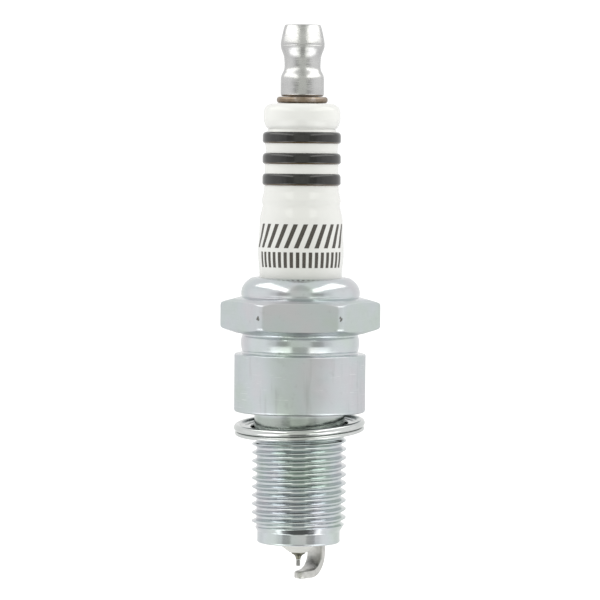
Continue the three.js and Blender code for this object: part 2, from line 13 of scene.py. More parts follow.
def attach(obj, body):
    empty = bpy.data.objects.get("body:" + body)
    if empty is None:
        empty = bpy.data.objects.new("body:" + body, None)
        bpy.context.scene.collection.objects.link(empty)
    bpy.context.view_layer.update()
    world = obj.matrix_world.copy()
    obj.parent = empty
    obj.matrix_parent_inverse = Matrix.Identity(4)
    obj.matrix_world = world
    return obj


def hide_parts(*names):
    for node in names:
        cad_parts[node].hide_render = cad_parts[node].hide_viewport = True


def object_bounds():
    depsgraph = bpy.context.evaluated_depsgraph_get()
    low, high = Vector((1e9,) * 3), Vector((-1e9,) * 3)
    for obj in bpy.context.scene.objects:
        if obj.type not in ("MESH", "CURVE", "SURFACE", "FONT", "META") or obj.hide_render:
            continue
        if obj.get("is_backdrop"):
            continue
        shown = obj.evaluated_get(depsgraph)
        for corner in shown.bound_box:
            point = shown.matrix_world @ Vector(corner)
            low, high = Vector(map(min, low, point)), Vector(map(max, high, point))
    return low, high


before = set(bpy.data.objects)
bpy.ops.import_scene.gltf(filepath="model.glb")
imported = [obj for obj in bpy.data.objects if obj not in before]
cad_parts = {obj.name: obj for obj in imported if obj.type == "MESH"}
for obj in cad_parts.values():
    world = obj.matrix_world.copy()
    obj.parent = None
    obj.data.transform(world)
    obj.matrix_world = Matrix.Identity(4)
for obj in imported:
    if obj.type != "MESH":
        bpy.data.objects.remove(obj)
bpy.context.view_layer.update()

MM = 0.001
# Vertices closer than WELD_MM are merged, and a radius under ON_AXIS_MM is on the axis.
WELD_MM = 0.0008
ON_AXIS_MM = 1e-6
# The easing of a corner takes at most this share of each edge beside it.
EASING_SHARE = 0.49
scene = bpy.context.scene


# --- Outlines: lists of (radius, z) -------------------------------------------

def rounded(points, closed=False, steps=5):
    """An outline whose corners are eased. A point's third number is how far back its easing starts."""
    result = []
    count = len(points)
    for i, point in enumerate(points):
        here = Vector(point[:2])
        reach = point[2] if len(point) > 2 else 0
        is_end = not closed and i in (0, count - 1)
        if reach == 0 or is_end:
            result.append(tuple(here))
            continue
        before = Vector(points[i - 1][:2]) - here
        after = Vector(points[(i + 1) % count][:2]) - here
        reach = min(reach, EASING_SHARE * before.length, EASING_SHARE * after.length)
        start = here + before.normalized() * reach
        end = here + after.normalized() * reach
        for k in range(steps + 1):
            t = k / steps
            result.append(tuple((1 - t) ** 2 * start + 2 * t * (1 - t) * here + t * t * end))
    return result


def flowing(points, steps=6):
    """A smooth outline through the points."""
    padded = [points[0], *points, points[-1]]
    result = []
    for a, b, c, d in zip(padded, padded[1:], padded[2:], padded[3:]):
        a, b, c, d = Vector(a), Vector(b), Vector(c), Vector(d)
        for k in range(steps):
            t = k / steps
            linear = c - a
            square = 2 * a - 5 * b + 4 * c - d
            cube = 3 * b - a - 3 * c + d
            result.append(tuple(b + 0.5 * (linear * t + square * t * t + cube * t ** 3)))
    result.append(points[-1])
    return result


def arc(centre, radius, start_deg, end_deg, steps=8):
    """Points along part of a circle."""
    result = []
    for k in range(steps + 1):
        angle = math.radians(start_deg + (end_deg - start_deg) * k / steps)
        result.append((centre[0] + radius * math.cos(angle), centre[1] + radius * math.sin(angle)))
    return result


def ribbon(path, thickness):
    """The closed outline of a strip of sheet that follows a path, with round ends."""
    half = thickness / 2
    spots = [Vector(p) for p in path]
    normals = []
    for i in range(len(spots)):
        along = spots[min(i + 1, len(spots) - 1)] - spots[max(i - 1, 0)]
        normals.append(Vector((-along.y, along.x)).normalized())
    left = [tuple(p + n * half) for p, n in zip(spots, normals)]
    right = [tuple(p - n * half) for p, n in zip(spots, normals)]

    def cap(centre, normal):
        start = math.degrees(math.atan2(normal.y, normal.x))
        return arc(centre, half, start, start - 180, 6)[1:-1]

    return left + cap(spots[-1], normals[-1]) + right[::-1] + cap(spots[0], -normals[0])


# --- Meshes -------------------------------------------------------------------

def even_angles(sides):
    return [2 * math.pi * i / sides for i in range(sides)]


def ring_spot(radius, angle, z):
    """A place in metres, from a radius and a height in millimetres."""
    return radius * math.cos(angle) * MM, radius * math.sin(angle) * MM, z * MM


def add_rows(bm, rows, angles, closed=False):
    """Joins rows round the axis. A row is a (radius, z) point or a function of the angle."""
    rings = []
    for row in rows:
        if not callable(row) and row[0] < ON_AXIS_MM:
            rings.append([bm.verts.new((0, 0, row[1] * MM))] * len(angles))
            continue
        ring = []
        for angle in angles:
            radius, z = row(angle) if callable(row) else row
            ring.append(bm.verts.new(ring_spot(radius, angle, z)))
        rings.append(ring)
    pairs = list(zip(rings, rings[1:]))
    if closed:
        pairs.append((rings[-1], rings[0]))
    for lower, upper in pairs:
        for i in range(len(angles)):
            j = (i + 1) % len(angles)
            corners = list(dict.fromkeys([lower[i], lower[j], upper[j], upper[i]]))
            if len(corners) > 2:
                bm.faces.new(corners)


def add_screw(bm, from_z, to_z, phase_z, pitch, radius_at, shares, angles):
    """A right-hand screw surface between two level rings. radius_at(share, z) gives its radius."""
    per_pitch = len(shares)
    turns = math.ceil((to_z - from_z) / pitch) + 2
    first = math.floor((from_z - phase_z) / pitch) - 1
    columns = [*angles, angles[0] + 2 * math.pi]
    grid = []
    for angle in columns:
        column = []
        for k in range(turns * per_pitch + 1):
            share = shares[k % per_pitch]
            turn = first + k // per_pitch + share
            z = phase_z + pitch * (turn + angle / (2 * math.pi))
            z = min(max(z, from_z), to_z)
            column.append(bm.verts.new(ring_spot(radius_at(share, z), angle, z)))
        grid.append(column)
    for left, right in zip(grid, grid[1:]):
        for k in range(len(left) - 1):
            bm.faces.new((left[k], right[k], right[k + 1], left[k + 1]))


def add_loft(bm, sections):
    """Joins closed sections of equal length, and caps the first and the last."""
    for a, b in zip(sections, sections[1:]):
        for i in range(len(a)):
            j = (i + 1) % len(a)
            bm.faces.new((a[i], a[j], b[j], b[i]))
    bm.faces.new(sections[0])
    bm.faces.new(sections[-1])


def finish_piece(bm, name, material, body, node, sharp_deg=38):
    """Turns a mesh under construction into a piece that rides a body and may stand for a CAD node."""
    bmesh.ops.remove_doubles(bm, verts=bm.verts, dist=WELD_MM * MM)
    bmesh.ops.dissolve_degenerate(bm, edges=bm.edges, dist=WELD_MM * MM / 4)
    loose = [v for v in bm.verts if not v.link_faces]
    bmesh.ops.delete(bm, geom=loose, context="VERTS")
    bmesh.ops.recalc_face_normals(bm, faces=bm.faces)
    mesh = bpy.data.meshes.new(name)
    bm.to_mesh(mesh)
    bm.free()
    mesh.shade_smooth()
    mesh.set_sharp_from_angle(angle=math.radians(sharp_deg))
    piece = bpy.data.objects.new(name, mesh)
    scene.collection.objects.link(piece)
    mesh.materials.append(material)
    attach(piece, body)
    if node:
        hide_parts(node)
    return piece


def turned(node, outline, sides, material):
    """A turned piece on the plug. Its outline ends on the axis or closes on itself."""
    bm = bmesh.new()
    closed = outline[0][0] > ON_AXIS_MM
    add_rows(bm, outline, even_angles(sides), closed)
    return finish_piece(bm, node + "_fine", material, "plug", node)


# --- Materials ----------------------------------------------------------------

class Graph:
    """A node tree under construction."""

    def __init__(self, owner):
        owner.use_nodes = True
        self.nodes = owner.node_tree.nodes
        self.links = owner.node_tree.links

    def feed(self, socket, value):
        """Sets a socket to a number or a colour, or links another socket to it."""
        if isinstance(value, tuple):
            socket.default_value = (*value, 1)
        elif isinstance(value, (int, float)):
            socket.default_value = value
        else:
            self.links.new(value, socket)

    def math(self, operation, *values):
        node = self.nodes.new("ShaderNodeMath")
        node.operation = operation
        for socket, value in zip(node.inputs, values):
            self.feed(socket, value)
        return node.outputs[0]

    def times(self, a, b):
        return self.math("MULTIPLY", a, b)

    def remap(self, value, low, high, new_low=0.0, new_high=1.0):
        """A smooth step from new_low, where the value is low, to new_high, where it is high."""
        node = self.nodes.new("ShaderNodeMapRange")
        node.interpolation_type = "SMOOTHSTEP"
        for socket, number in zip(node.inputs, (value, low, high, new_low, new_high)):
            self.feed(socket, number)
        return node.outputs["Result"]

    def window(self, value, rising, falling):
        """1 between two smooth edges. An edge is a pair: where it is 0, then where it is 1."""
        return self.times(self.remap(value, *rising), self.remap(value, *falling))

    def ramp(self, value, stops):
        """Colours along a value: stops of (position, colour)."""
        node = self.nodes.new("ShaderNodeValToRGB")
        band = node.color_ramp
        while len(band.elements) < len(stops):
            band.elements.new(0.5)
        for element, (position, colour) in zip(band.elements, stops):
            element.position = position
            element.color = (*colour, 1)
        self.links.new(value, node.inputs["Fac"])
        return node.outputs["Color"]

    def mix(self, factor, a, b):
        node = self.nodes.new("ShaderNodeMix")
        node.data_type = "RGBA"
        self.links.new(factor, node.inputs["Factor"])
        for name, value in (("A", a), ("B", b)):
            self.feed([s for s in node.inputs if s.name == name and s.type == "RGBA"][0], value)
        return [s for s in node.outputs if s.type == "RGBA"][0]


NOISE_ROUGHNESS = 0.55
# Most of a noise texture's values lie between these two.
NOISE_LOW = 0.3
NOISE_HIGH = 0.7


class Surface(Graph):
    """A material under construction: a Principled shader and the nodes that feed it."""

    def __init__(self, name, metallic, roughness, **sockets):
        self.material = bpy.data.materials.new(name)
        super().__init__(self.material)
        self.shader = self.nodes["Principled BSDF"]
        self.shader.inputs["Metallic"].default_value = metallic
        self.shader.inputs["Roughness"].default_value = roughness
        for socket, value in sockets.items():
            self.shader.inputs[socket.replace("_", " ")].default_value = value
        self.place = self.nodes.new("ShaderNodeTexCoord").outputs["Object"]

    def noise(self, per_mm, stretch=(1, 1, 1), detail=4.0):
        """Noise with about per_mm features in a millimetre, before the stretch along X, Y and Z."""
        mapping = self.nodes.new("ShaderNodeMapping")
        mapping.inputs["Scale"].default_value = tuple(per_mm / MM * s for s in stretch)
        self.links.new(self.place, mapping.inputs["Vector"])
        texture = self.nodes.new("ShaderNodeTexNoise")
        texture.inputs["Scale"].default_value = 1.0
        texture.inputs["Detail"].default_value = detail
        texture.inputs["Roughness"].default_value = NOISE_ROUGHNESS
        self.links.new(mapping.outputs["Vector"], texture.inputs["Vector"])
        return texture.outputs["Fac"]

    def height(self):
        """The height along the axis, in millimetres."""
        split = self.nodes.new("ShaderNodeSeparateXYZ")
        self.links.new(self.place, split.inputs[0])
        return self.times(split.outputs["Z"], 1 / MM)

    def paint(self, colour):
        self.feed(self.shader.inputs["Base Color"], colour)

    def mottle(self, noise_value, dark, light, low=NOISE_LOW, high=NOISE_HIGH):
        """Paints two colours that mix along a noise."""
        self.paint(self.ramp(noise_value, [(low, dark), (high, light)]))

    def vary_roughness(self, value):
        self.links.new(value, self.shader.inputs["Roughness"])

    def roughen(self, noise_value, smooth, rough):
        """Roughness that follows a noise."""
        self.vary_roughness(self.remap(noise_value, NOISE_LOW, NOISE_HIGH, smooth, rough))

    def bump(self, height, depth_mm):
        node = self.nodes.new("ShaderNodeBump")
        node.inputs["Distance"].default_value = depth_mm * MM
        self.links.new(height, node.inputs["Height"])
        previous = self.shader.inputs["Normal"].links
        if previous:
            self.links.new(previous[0].from_socket, node.inputs["Normal"])
        self.links.new(node.outputs["Normal"], self.shader.inputs["Normal"])


# Sizes that both the materials and the meshes use. The hexagon's foot and top are (radius, z) points,
# and a band's span is its bottom and its top.
BARREL_TOP_Z = 8.5
HEX_FOOT = (9.5, 11.6)
HEX_TOP = (8.72, 16.8)
BAND_SPANS = [(33.07, 34.76), (36.16, 37.76), (39.17, 40.83)]


def zinc_plate():
    """Zinc over steel, faintly green and rose: satin where it was turned, bright where rolled or pressed."""
    mat = Surface("zinc_plate_m", 1.0, 0.3)
    tint = mat.ramp(mat.noise(0.12, detail=3), [
        (0.36, (0.54, 0.60, 0.57)),
        (0.5, (0.565, 0.605, 0.62)),
        (0.64, (0.595, 0.595, 0.62)),
    ])
    stain = mat.remap(mat.noise(0.9, detail=6), 0.6, 0.78, 0.0, 0.3)
    height = mat.height()
    on_barrel = mat.window(height, (-0.1, 0.1), (BARREL_TOP_Z, BARREL_TOP_Z - 0.2))
    foot_z, top_z = HEX_FOOT[1], HEX_TOP[1]
    on_hexagon = mat.window(height, (foot_z - 0.3, foot_z + 0.1), (top_z - 0.2, top_z - 0.4))
    satin = mat.math("ADD", on_barrel, on_hexagon)
    streak = mat.remap(mat.noise(0.8, stretch=(1, 1, 0.12), detail=6), 0.52, 0.72, 0.0, 0.45)
    stain = mat.math("ADD", stain, mat.times(streak, on_barrel))
    scratch = mat.remap(mat.noise(0.22, stretch=(1, 1, 30), detail=3), 0.66, 0.7, 0.0, 0.6)
    colour = mat.mix(stain, tint, (0.40, 0.42, 0.42))
    colour = mat.mix(mat.times(scratch, on_barrel), colour, (0.82, 0.84, 0.84))
    # Painted shade and reflection: the neck under the barrel and gasket darkens to a dark green-grey.
    neck_painted_shade = mat.window(height, (0.0, -0.9), (-4.0, -3.2))
    mat.paint(mat.mix(mat.times(neck_painted_shade, 0.55), colour, (0.27, 0.32, 0.25)))
    turning = mat.noise(0.35, stretch=(1, 1, 16), detail=5)
    cloud = mat.noise(1.4, detail=5)
    roughness = mat.remap(mat.math("ADD", turning, cloud), 0.75, 1.3, 0.13, 0.24)
    rolled = mat.remap(height, -3.0, -3.5, 0.0, 0.06)
    roughness = mat.math("SUBTRACT", roughness, rolled)
    mat.vary_roughness(mat.math("ADD", roughness, mat.times(satin, 0.24)))
    mat.bump(mat.noise(3.0, detail=3), 0.004)
    mat.bump(turning, 0.006)
    return mat.material


def nickel_plate():
    """Satin nickel with fine turning marks round the nut and faint drag marks along it."""
    mat = Surface("nickel_plate_m", 1.0, 0.25)
    mat.mottle(mat.noise(0.5), (0.47, 0.47, 0.47), (0.56, 0.56, 0.555))
    turning = mat.noise(0.6, stretch=(1, 1, 12), detail=5)
    mat.roughen(turning, 0.2, 0.36)
    mat.bump(turning, 0.005)
    mat.bump(mat.noise(2.6, stretch=(1, 1, 0.12), detail=3), 0.014)
    return mat.material


def tinted_steel():
    """Steel browned by the glass-sealing furnace, brighter on its threads."""
    mat = Surface("tinted_steel_m", 1.0, 0.38)
    brown = mat.ramp(mat.noise(0.8), [
        (0.3, (0.20, 0.15, 0.105)),
        (0.55, (0.28, 0.225, 0.175)),
        (0.75, (0.42, 0.375, 0.345)),
    ])
    bright = mat.remap(mat.height(), 46.1, 47.0)
    mat.paint(mat.mix(bright, brown, (0.62, 0.59, 0.55)))
    mat.roughen(mat.noise(2.0), 0.3, 0.5)
    mat.bump(mat.noise(4.0), 0.004)
    return mat.material


def gasket_steel():
    mat = Surface("gasket_steel_m", 1.0, 0.2)
    mat.mottle(mat.noise(0.3), (0.56, 0.59, 0.57), (0.62, 0.63, 0.625), 0.35, 0.65)
    mat.vary_roughness(mat.remap(mat.noise(1.6, detail=5), 0.35, 0.7, 0.08, 0.2))
    mat.bump(mat.noise(2.0, detail=3), 0.004)
    return mat.material


def glazed_alumina():
    """White alumina. Its glaze ends at the shell, and the nose below is bare and slightly warmer."""
    mat = Surface("glazed_alumina_m", 0.0, 0.12, Specular_IOR_Level=0.5)
    height = mat.height()
    glaze = mat.ramp(mat.noise(0.12, detail=2), [
        (NOISE_LOW, (0.735, 0.735, 0.715)),
        (NOISE_HIGH, (0.755, 0.755, 0.74)),
    ])
    bare = mat.remap(height, 9.0, 10.0, 1.0, 0.0)
    mat.paint(mat.mix(bare, glaze, (0.74, 0.74, 0.705)))
    gloss = mat.remap(mat.noise(0.5), NOISE_LOW, NOISE_HIGH, 0.08, 0.16)
    mat.vary_roughness(mat.math("ADD", gloss, mat.times(bare, 0.4)))
    mat.bump(mat.noise(0.45, detail=2), 0.012)
    return mat.material


def dark_glaze():
    """Nearly black glaze that thins to brown along the lower edge of each band."""
    mat = Surface("dark_glaze_m", 0.0, 0.16, Specular_IOR_Level=0.6)
    glaze = mat.ramp(mat.noise(1.3, detail=5), [
        (NOISE_LOW, (0.012, 0.012, 0.0115)),
        (NOISE_HIGH, (0.023, 0.022, 0.02)),
    ])
    height = mat.height()
    for low, _ in BAND_SPANS:
        thin = mat.window(height, (low - 0.1, low), (low + 0.26, low + 0.1))
        glaze = mat.mix(mat.times(thin, 0.8), glaze, (0.13, 0.085, 0.04))
    mat.paint(glaze)
    mat.roughen(mat.noise(1.0), 0.05, 0.14)
    mat.bump(mat.noise(0.9, detail=3), 0.008)
    return mat.material


def print_ink():
    mat = Surface("print_ink_m", 0.0, 0.42)
    mat.mottle(mat.noise(6.0), (0.045, 0.041, 0.034), (0.085, 0.075, 0.062), 0.35)
    mat.roughen(mat.noise(4.0), 0.32, 0.5)
    return mat.material


def bare_nick():
    mat = Surface("bare_nick_m", 1.0, 0.5)
    mat.mottle(mat.noise(5.0, detail=3), (0.13, 0.13, 0.12), (0.26, 0.26, 0.25), 0.35, 0.65)
    return mat.material


def pressed_talc():
    mat = Surface("pressed_talc_m", 0.0, 0.9)
    mat.mottle(mat.noise(3.0, detail=8), (0.68, 0.66, 0.60), (0.80, 0.78, 0.73))
    mat.bump(mat.noise(5.0, detail=8), 0.03)
    return mat.material


def fused_glass(name, dark, light, metallic):
    """Glass fused with the grains of another material."""
    mat = Surface(name, metallic, 0.45)
    grain = mat.noise(4.0, detail=7)
    mat.mottle(grain, dark, light, 0.35, 0.68)
    mat.roughen(grain, 0.35, 0.65)
    mat.bump(grain, 0.03)
    return mat.material


def fine_metal(name, roughness, tones, shine, relief=None):
    """A metal of two mixed tones with an uneven shine.

    tones is (noise in a mm, dark, light), shine is (noise in a mm, stretch along Z, smooth, rough), and
    relief is (noise in a mm, depth in mm).
    """
    mat = Surface(name, 1.0, roughness)
    mat.mottle(mat.noise(tones[0]), *tones[1:])
    mat.roughen(mat.noise(shine[0], stretch=(1, 1, shine[1])), *shine[2:])
    if relief:
        mat.bump(mat.noise(relief[0]), relief[1])
    return mat.material


ZINC = zinc_plate()
NICKEL = nickel_plate()
TINTED = tinted_steel()
ALLOY = fine_metal("nickel_alloy_m", 0.36, (1.2, (0.50, 0.50, 0.475), (0.66, 0.655, 0.63)),
                   (2.2, 3, 0.28, 0.46), (6.0, 0.004))
SHEATH = fine_metal("sheath_nickel_m", 0.42, (1.5, (0.12, 0.12, 0.09), (0.22, 0.215, 0.17)),
                    (3.0, 1, 0.34, 0.52), (6.0, 0.003))
IRIDIUM = fine_metal("iridium_m", 0.24, (2.0, (0.26, 0.26, 0.25), (0.38, 0.38, 0.365)),
                     (5.0, 0.3, 0.18, 0.32), (9.0, 0.001))
GASKET = gasket_steel()
ALUMINA = glazed_alumina()
GLAZE = dark_glaze()
INK = print_ink()
NICK = bare_nick()
TALC = pressed_talc()
COPPER_GLASS = fused_glass("copper_glass_m", (0.10, 0.055, 0.035), (0.40, 0.20, 0.12), 0.3)
CARBON_GLASS = fused_glass("carbon_glass_m", (0.02, 0.02, 0.02), (0.12, 0.11, 0.10), 0.0)
COPPER = fine_metal("copper_m", 0.3, (1.0, (0.62, 0.30, 0.17), (0.78, 0.42, 0.26)), (2.0, 1, 0.24, 0.4))
STEEL = fine_metal("plain_steel_m", 0.4, (1.0, (0.46, 0.47, 0.48), (0.58, 0.59, 0.60)),
                   (2.0, 1, 0.32, 0.5), (4.0, 0.004))


# --- Shell --------------------------------------------------------------------

HEX_HALF = 10.34
HEX_TURNED_R = 11.67
HEX_EDGE_DEG = math.degrees(math.acos(HEX_HALF / HEX_TURNED_R))
HEX_EDGE_EASE = 0.02
# The chamfers meet a corner at the first two heights, and the middle of a flat at the other two.
HEX_LOW_Z = 12.3
HEX_HIGH_Z = 15.95
HEX_LOW_MIDDLE_Z = 12.04
HEX_HIGH_MIDDLE_Z = 16.2
HEX_CHAMFER_POWER = 2.2
# The chamfer's edge is rounded by HEX_CORNER at a corner and by a share of it on a flat.
HEX_CORNER = 0.35
HEX_CORNER_FROM_R = 11.0
HEX_CORNER_LEAST = 0.25
# Each nick's direction in degrees and its height.
NICKS = [(-121.4, 14.2), (-122.0, 14.0), (-120.9, 13.9), (-60.7, 14.25), (-59.6, 14.05), (-60.3, 13.85)]
NICK_LIFT = 0.012
NICK_SINK = 0.03

BARREL_R = 9.58
BARREL_EDGE_Z = 8.56
BURR_FROM_Z = 8.2
BURR_FROM_R = 9.2
BURR_WAVES = 5
BURR_OUT = 0.03
BURR_UP = 0.05
GROOVE_R = 8.47
GROOVE_LOW_Z = 8.85
GROOVE_HIGH = (8.45, 11.2)
RIM_FOOT = (8.66, 17.1)
RIM_TOP = (6.5, 19.66)

THREAD_PITCH = 1.25
THREAD_CREST_R = 6.9
THREAD_ROOT_R = 6.2
THREAD_START_Z = -17.42
THREAD_END_Z = -3.45
THREAD_PHASE_Z = 0.27
# Shares of half a pitch that the flat root and the flank take, and how much the flank's ends are eased.
THREAD_ROOT_SHARE = 0.22
THREAD_FLANK_SHARE = 0.66
THREAD_EASE = 0.35
THREAD_CHAMFER_SLOPE = 0.6
THREAD_RUN_OUT = 0.75
THREAD_SHARES = [k / 16 for k in range(16)]
NECK_R = 6.6
COLLAR_R = 6.05

SHELL_END_Z = -19.15
NOSE_BORE_R = 4.4
NOSE_BORE_SEAM_Z = -18.8
LEDGE_R = 4.05
LEDGE_TOP_Z = -8.9
MID_BORE_R = 5.15
MID_BORE_BOTTOM_Z = -8
WIDE_BORE_R = 7.3
RIM_MOUTH_R = 6.21


def shell_angles():
    """Columns that fall on the edges of the hexagon's flats and crowd towards them."""
    half = [0, 3, 6, 9, 12, 15, 18, 20.5, 22.7, 24.5, 25.8, 26.5, HEX_EDGE_DEG, 27.5, 28.6]
    offsets = sorted([-d for d in half[1:]] + half + [30])
    return [math.radians(-90 + 60 * side + d) for side in range(6) for d in offsets]


def hex_radius(angle):
    """The hexagon's radius at an angle, with its corners turned off and its edges just eased."""
    sector = math.radians(60)
    turn = (angle + math.pi / 2 + sector / 2) % sector - sector / 2
    flat = math.exp(-HEX_HALF / math.cos(turn) / HEX_EDGE_EASE)
    turned_off = math.exp(-HEX_TURNED_R / HEX_EDGE_EASE)
    return -HEX_EDGE_EASE * math.log(flat + turned_off)


def hex_rows():
    """Rows over the hexagon, from its lower chamfer to its upper one."""
    def corner(angle, upper):
        radius = hex_radius(angle)
        share = min(max((radius - HEX_HALF) / (HEX_TURNED_R - HEX_HALF), 0), 1) ** HEX_CHAMFER_POWER
        middle, end = (HEX_HIGH_MIDDLE_Z, HEX_HIGH_Z) if upper else (HEX_LOW_MIDDLE_Z, HEX_LOW_Z)
        return radius, middle + (end - middle) * share

    def column(angle):
        low, high = corner(angle, False), corner(angle, True)
        share = (low[0] - HEX_CORNER_FROM_R) / (HEX_TURNED_R - HEX_CORNER_FROM_R)
        ease = HEX_CORNER * min(max(share, HEX_CORNER_LEAST), 1)
        points = rounded([HEX_FOOT, (*low, ease), (*high, ease), HEX_TOP], steps=4)
        spread = []
        for a, b in zip(points, points[1:]):
            is_flat = abs(a[0] - b[0]) < 1e-9 and abs(a[1] - b[1]) > 0.5
            shares = (0, 0.04, 0.2, 0.4, 0.6, 0.8, 0.96) if is_flat else (0,)
            spread += [tuple(Vector(a).lerp(Vector(b), s)) for s in shares]
        return [*spread, points[-1]]

    columns = {}

    def row(index):
        def at(angle):
            if angle not in columns:
                columns[angle] = column(angle)
            return columns[angle][index]
        return at

    return [row(i) for i in range(len(column(0.0)))]


def thread_radius(share, z):
    """Radius of the mounting thread: its form, chamfered at the start and run out at the neck."""
    rise = 1 - abs(2 * share - 1)
    t = min(max((rise - THREAD_ROOT_SHARE) / THREAD_FLANK_SHARE, 0), 1)
    t -= THREAD_EASE * math.sin(2 * math.pi * t) / (2 * math.pi)
    form = THREAD_ROOT_R + (THREAD_CREST_R - THREAD_ROOT_R) * t
    chamfer = COLLAR_R + (z - THREAD_START_Z) * THREAD_CHAMFER_SLOPE
    fade = min(max((z - (THREAD_END_Z - THREAD_RUN_OUT)) / THREAD_RUN_OUT, 0), 1)
    fade = fade * fade * (3 - 2 * fade)
    return min(form, chamfer) * (1 - fade) + NECK_R * fade


def worn(row):
    """A row with a slight burr, uneven round the edge."""
    def at(angle):
        spot = Vector((math.cos(angle) * BURR_WAVES, math.sin(angle) * BURR_WAVES, row[1]))
        wear = noise.noise(spot)
        return row[0] + BURR_OUT * wear, row[1] + BURR_UP * wear
    return at


def build_shell():
    angles = shell_angles()
    bm = bmesh.new()
    end_rows = rounded([
        (NOSE_BORE_R, NOSE_BORE_SEAM_Z),
        (NOSE_BORE_R, SHELL_END_Z, 0.15),
        (5.82, SHELL_END_Z, 0.12),
        (6.08, -18.95, 0.12),
        (COLLAR_R, -18.5, 0.1),
        (COLLAR_R, THREAD_START_Z - 0.12, 0.08),
        (COLLAR_R, THREAD_START_Z),
    ])
    add_rows(bm, end_rows, angles)
    add_screw(bm, THREAD_START_Z, THREAD_END_Z, THREAD_PHASE_Z, THREAD_PITCH,
              thread_radius, THREAD_SHARES, angles)
    barrel_rows = rounded([
        (NECK_R, THREAD_END_Z),
        (NECK_R, 0, 0.2),
        (BARREL_R, 0, 0.42),
        (BARREL_R, 2.5),
        (BARREL_R, 4.3),
        (BARREL_R, 6.2),
        (BARREL_R, BARREL_TOP_Z, 0.26),
        (9.1, BARREL_EDGE_Z, 0.1),
        (GROOVE_R, 8.62, 0.16),
        (GROOVE_R, GROOVE_LOW_Z),
    ], steps=6)
    groove_rows = flowing([
        (GROOVE_R, GROOVE_LOW_Z), (8.6, 9.45), (8.67, 10.1), (8.6, 10.75), GROOVE_HIGH,
    ])[1:]
    under_rows = rounded([GROOVE_HIGH, (8.47, 11.38, 0.08), HEX_FOOT])[1:-1]
    rim_rows = rounded([HEX_TOP, (8.6, 16.84, 0.05), RIM_FOOT])[1:]
    dome_rows = flowing([
        RIM_FOOT, (8.665, 17.6), (8.47, 18.3), (8.05, 18.9), (7.4, 19.45), (6.95, 19.63), RIM_TOP,
    ])[1:]
    bore_rows = rounded([
        RIM_TOP,
        (RIM_MOUTH_R, 19.6, 0.12),
        (RIM_MOUTH_R, 18.7, 0.1),
        (WIDE_BORE_R, 17.9, 0.3),
        (WIDE_BORE_R, 1.8, 0.2),
        (MID_BORE_R, 0.6, 0.2),
        (MID_BORE_R, MID_BORE_BOTTOM_Z, 0.2),
        (LEDGE_R, LEDGE_TOP_Z, 0.2),
        (LEDGE_R, -10, 0.2),
        (NOSE_BORE_R, -10.3, 0.2),
        (NOSE_BORE_R, NOSE_BORE_SEAM_Z),
    ], steps=3)[1:]
    for i, (radius, z) in enumerate(barrel_rows):
        if BURR_FROM_Z < z < BARREL_EDGE_Z and radius > BURR_FROM_R:
            barrel_rows[i] = worn((radius, z))
    rows = [*barrel_rows, *groove_rows, *under_rows, *hex_rows(), *rim_rows, *dome_rows, *bore_rows]
    add_rows(bm, rows, angles)
    return finish_piece(bm, "shell_fine", ZINC, "plug", "shell")


build_shell()


# --- Insulator, glaze bands and print -----------------------------------------

BAND_NAMES = ["glaze_band_lower", "glaze_band_middle", "glaze_band_upper"]
# Radius of the valley above each rib.
BAND_VALLEYS = [5.36, 5.22, 4.92]
BAND_R = 5.71
BAND_THICKNESS = 0.12
BAND_INSET = 0.03
VALLEY_RISE = 0.36
RIB_FOOT_IN = 0.22
RIB_FOOT_UP = 0.2
RIB_SIDE_UP = 0.7
RIB_TOP_REACH = 0.5
RIB_TOP_DROP = 0.6

BODY_R = 6.04
BODY_LOW_Z = 19.2
FLANGE_R = 7.2
SEAT_R = 5.0
INSULATOR_TOP_Z = 44.95
MOUTH_OUTER_R = 2.6
STUD_BORE_R = 2.05
TIP_BORE_R = 1.25
NOSE_SEAM_Z = -20.5

BODY_OUTLINE = flowing([
    (BODY_R, BODY_LOW_Z), (BODY_R, 20.1), (6.1, 21.2), (6.22, 22.2), (6.27, 23.4), (6.22, 24.6),
    (6.12, 25.8), (6.08, 27.4), (6.03, 28.3), (5.9, 28.95), (5.74, 29.6), (5.67, 30.1), (5.72, 30.6),
    (5.74, 31.0), (5.62, 31.6), (5.46, 32.2), (5.45, 32.75),
])


def rib(low, high, radius, valley):
    """One rib of the corrugation, rounder at its top than at its bottom."""
    reach = min(radius - valley, RIB_TOP_REACH)
    foot = rounded([
        (radius - RIB_FOOT_IN, low),
        (radius, low + RIB_FOOT_UP, RIB_FOOT_IN),
        (radius, low + RIB_SIDE_UP),
    ])
    turn = arc((0, 0), 1, 0, 90)
    return foot + [(radius - reach + reach * c, high - RIB_TOP_DROP + RIB_TOP_DROP * s) for c, s in turn]


def corrugation():
    """The three ribs and their valleys, under the glaze bands."""
    rows = []
    for (low, high), valley in zip(BAND_SPANS, BAND_VALLEYS):
        rows += rib(low, high, BAND_R - BAND_THICKNESS, valley)
        rows.append((valley, high + VALLEY_RISE))
    return rows


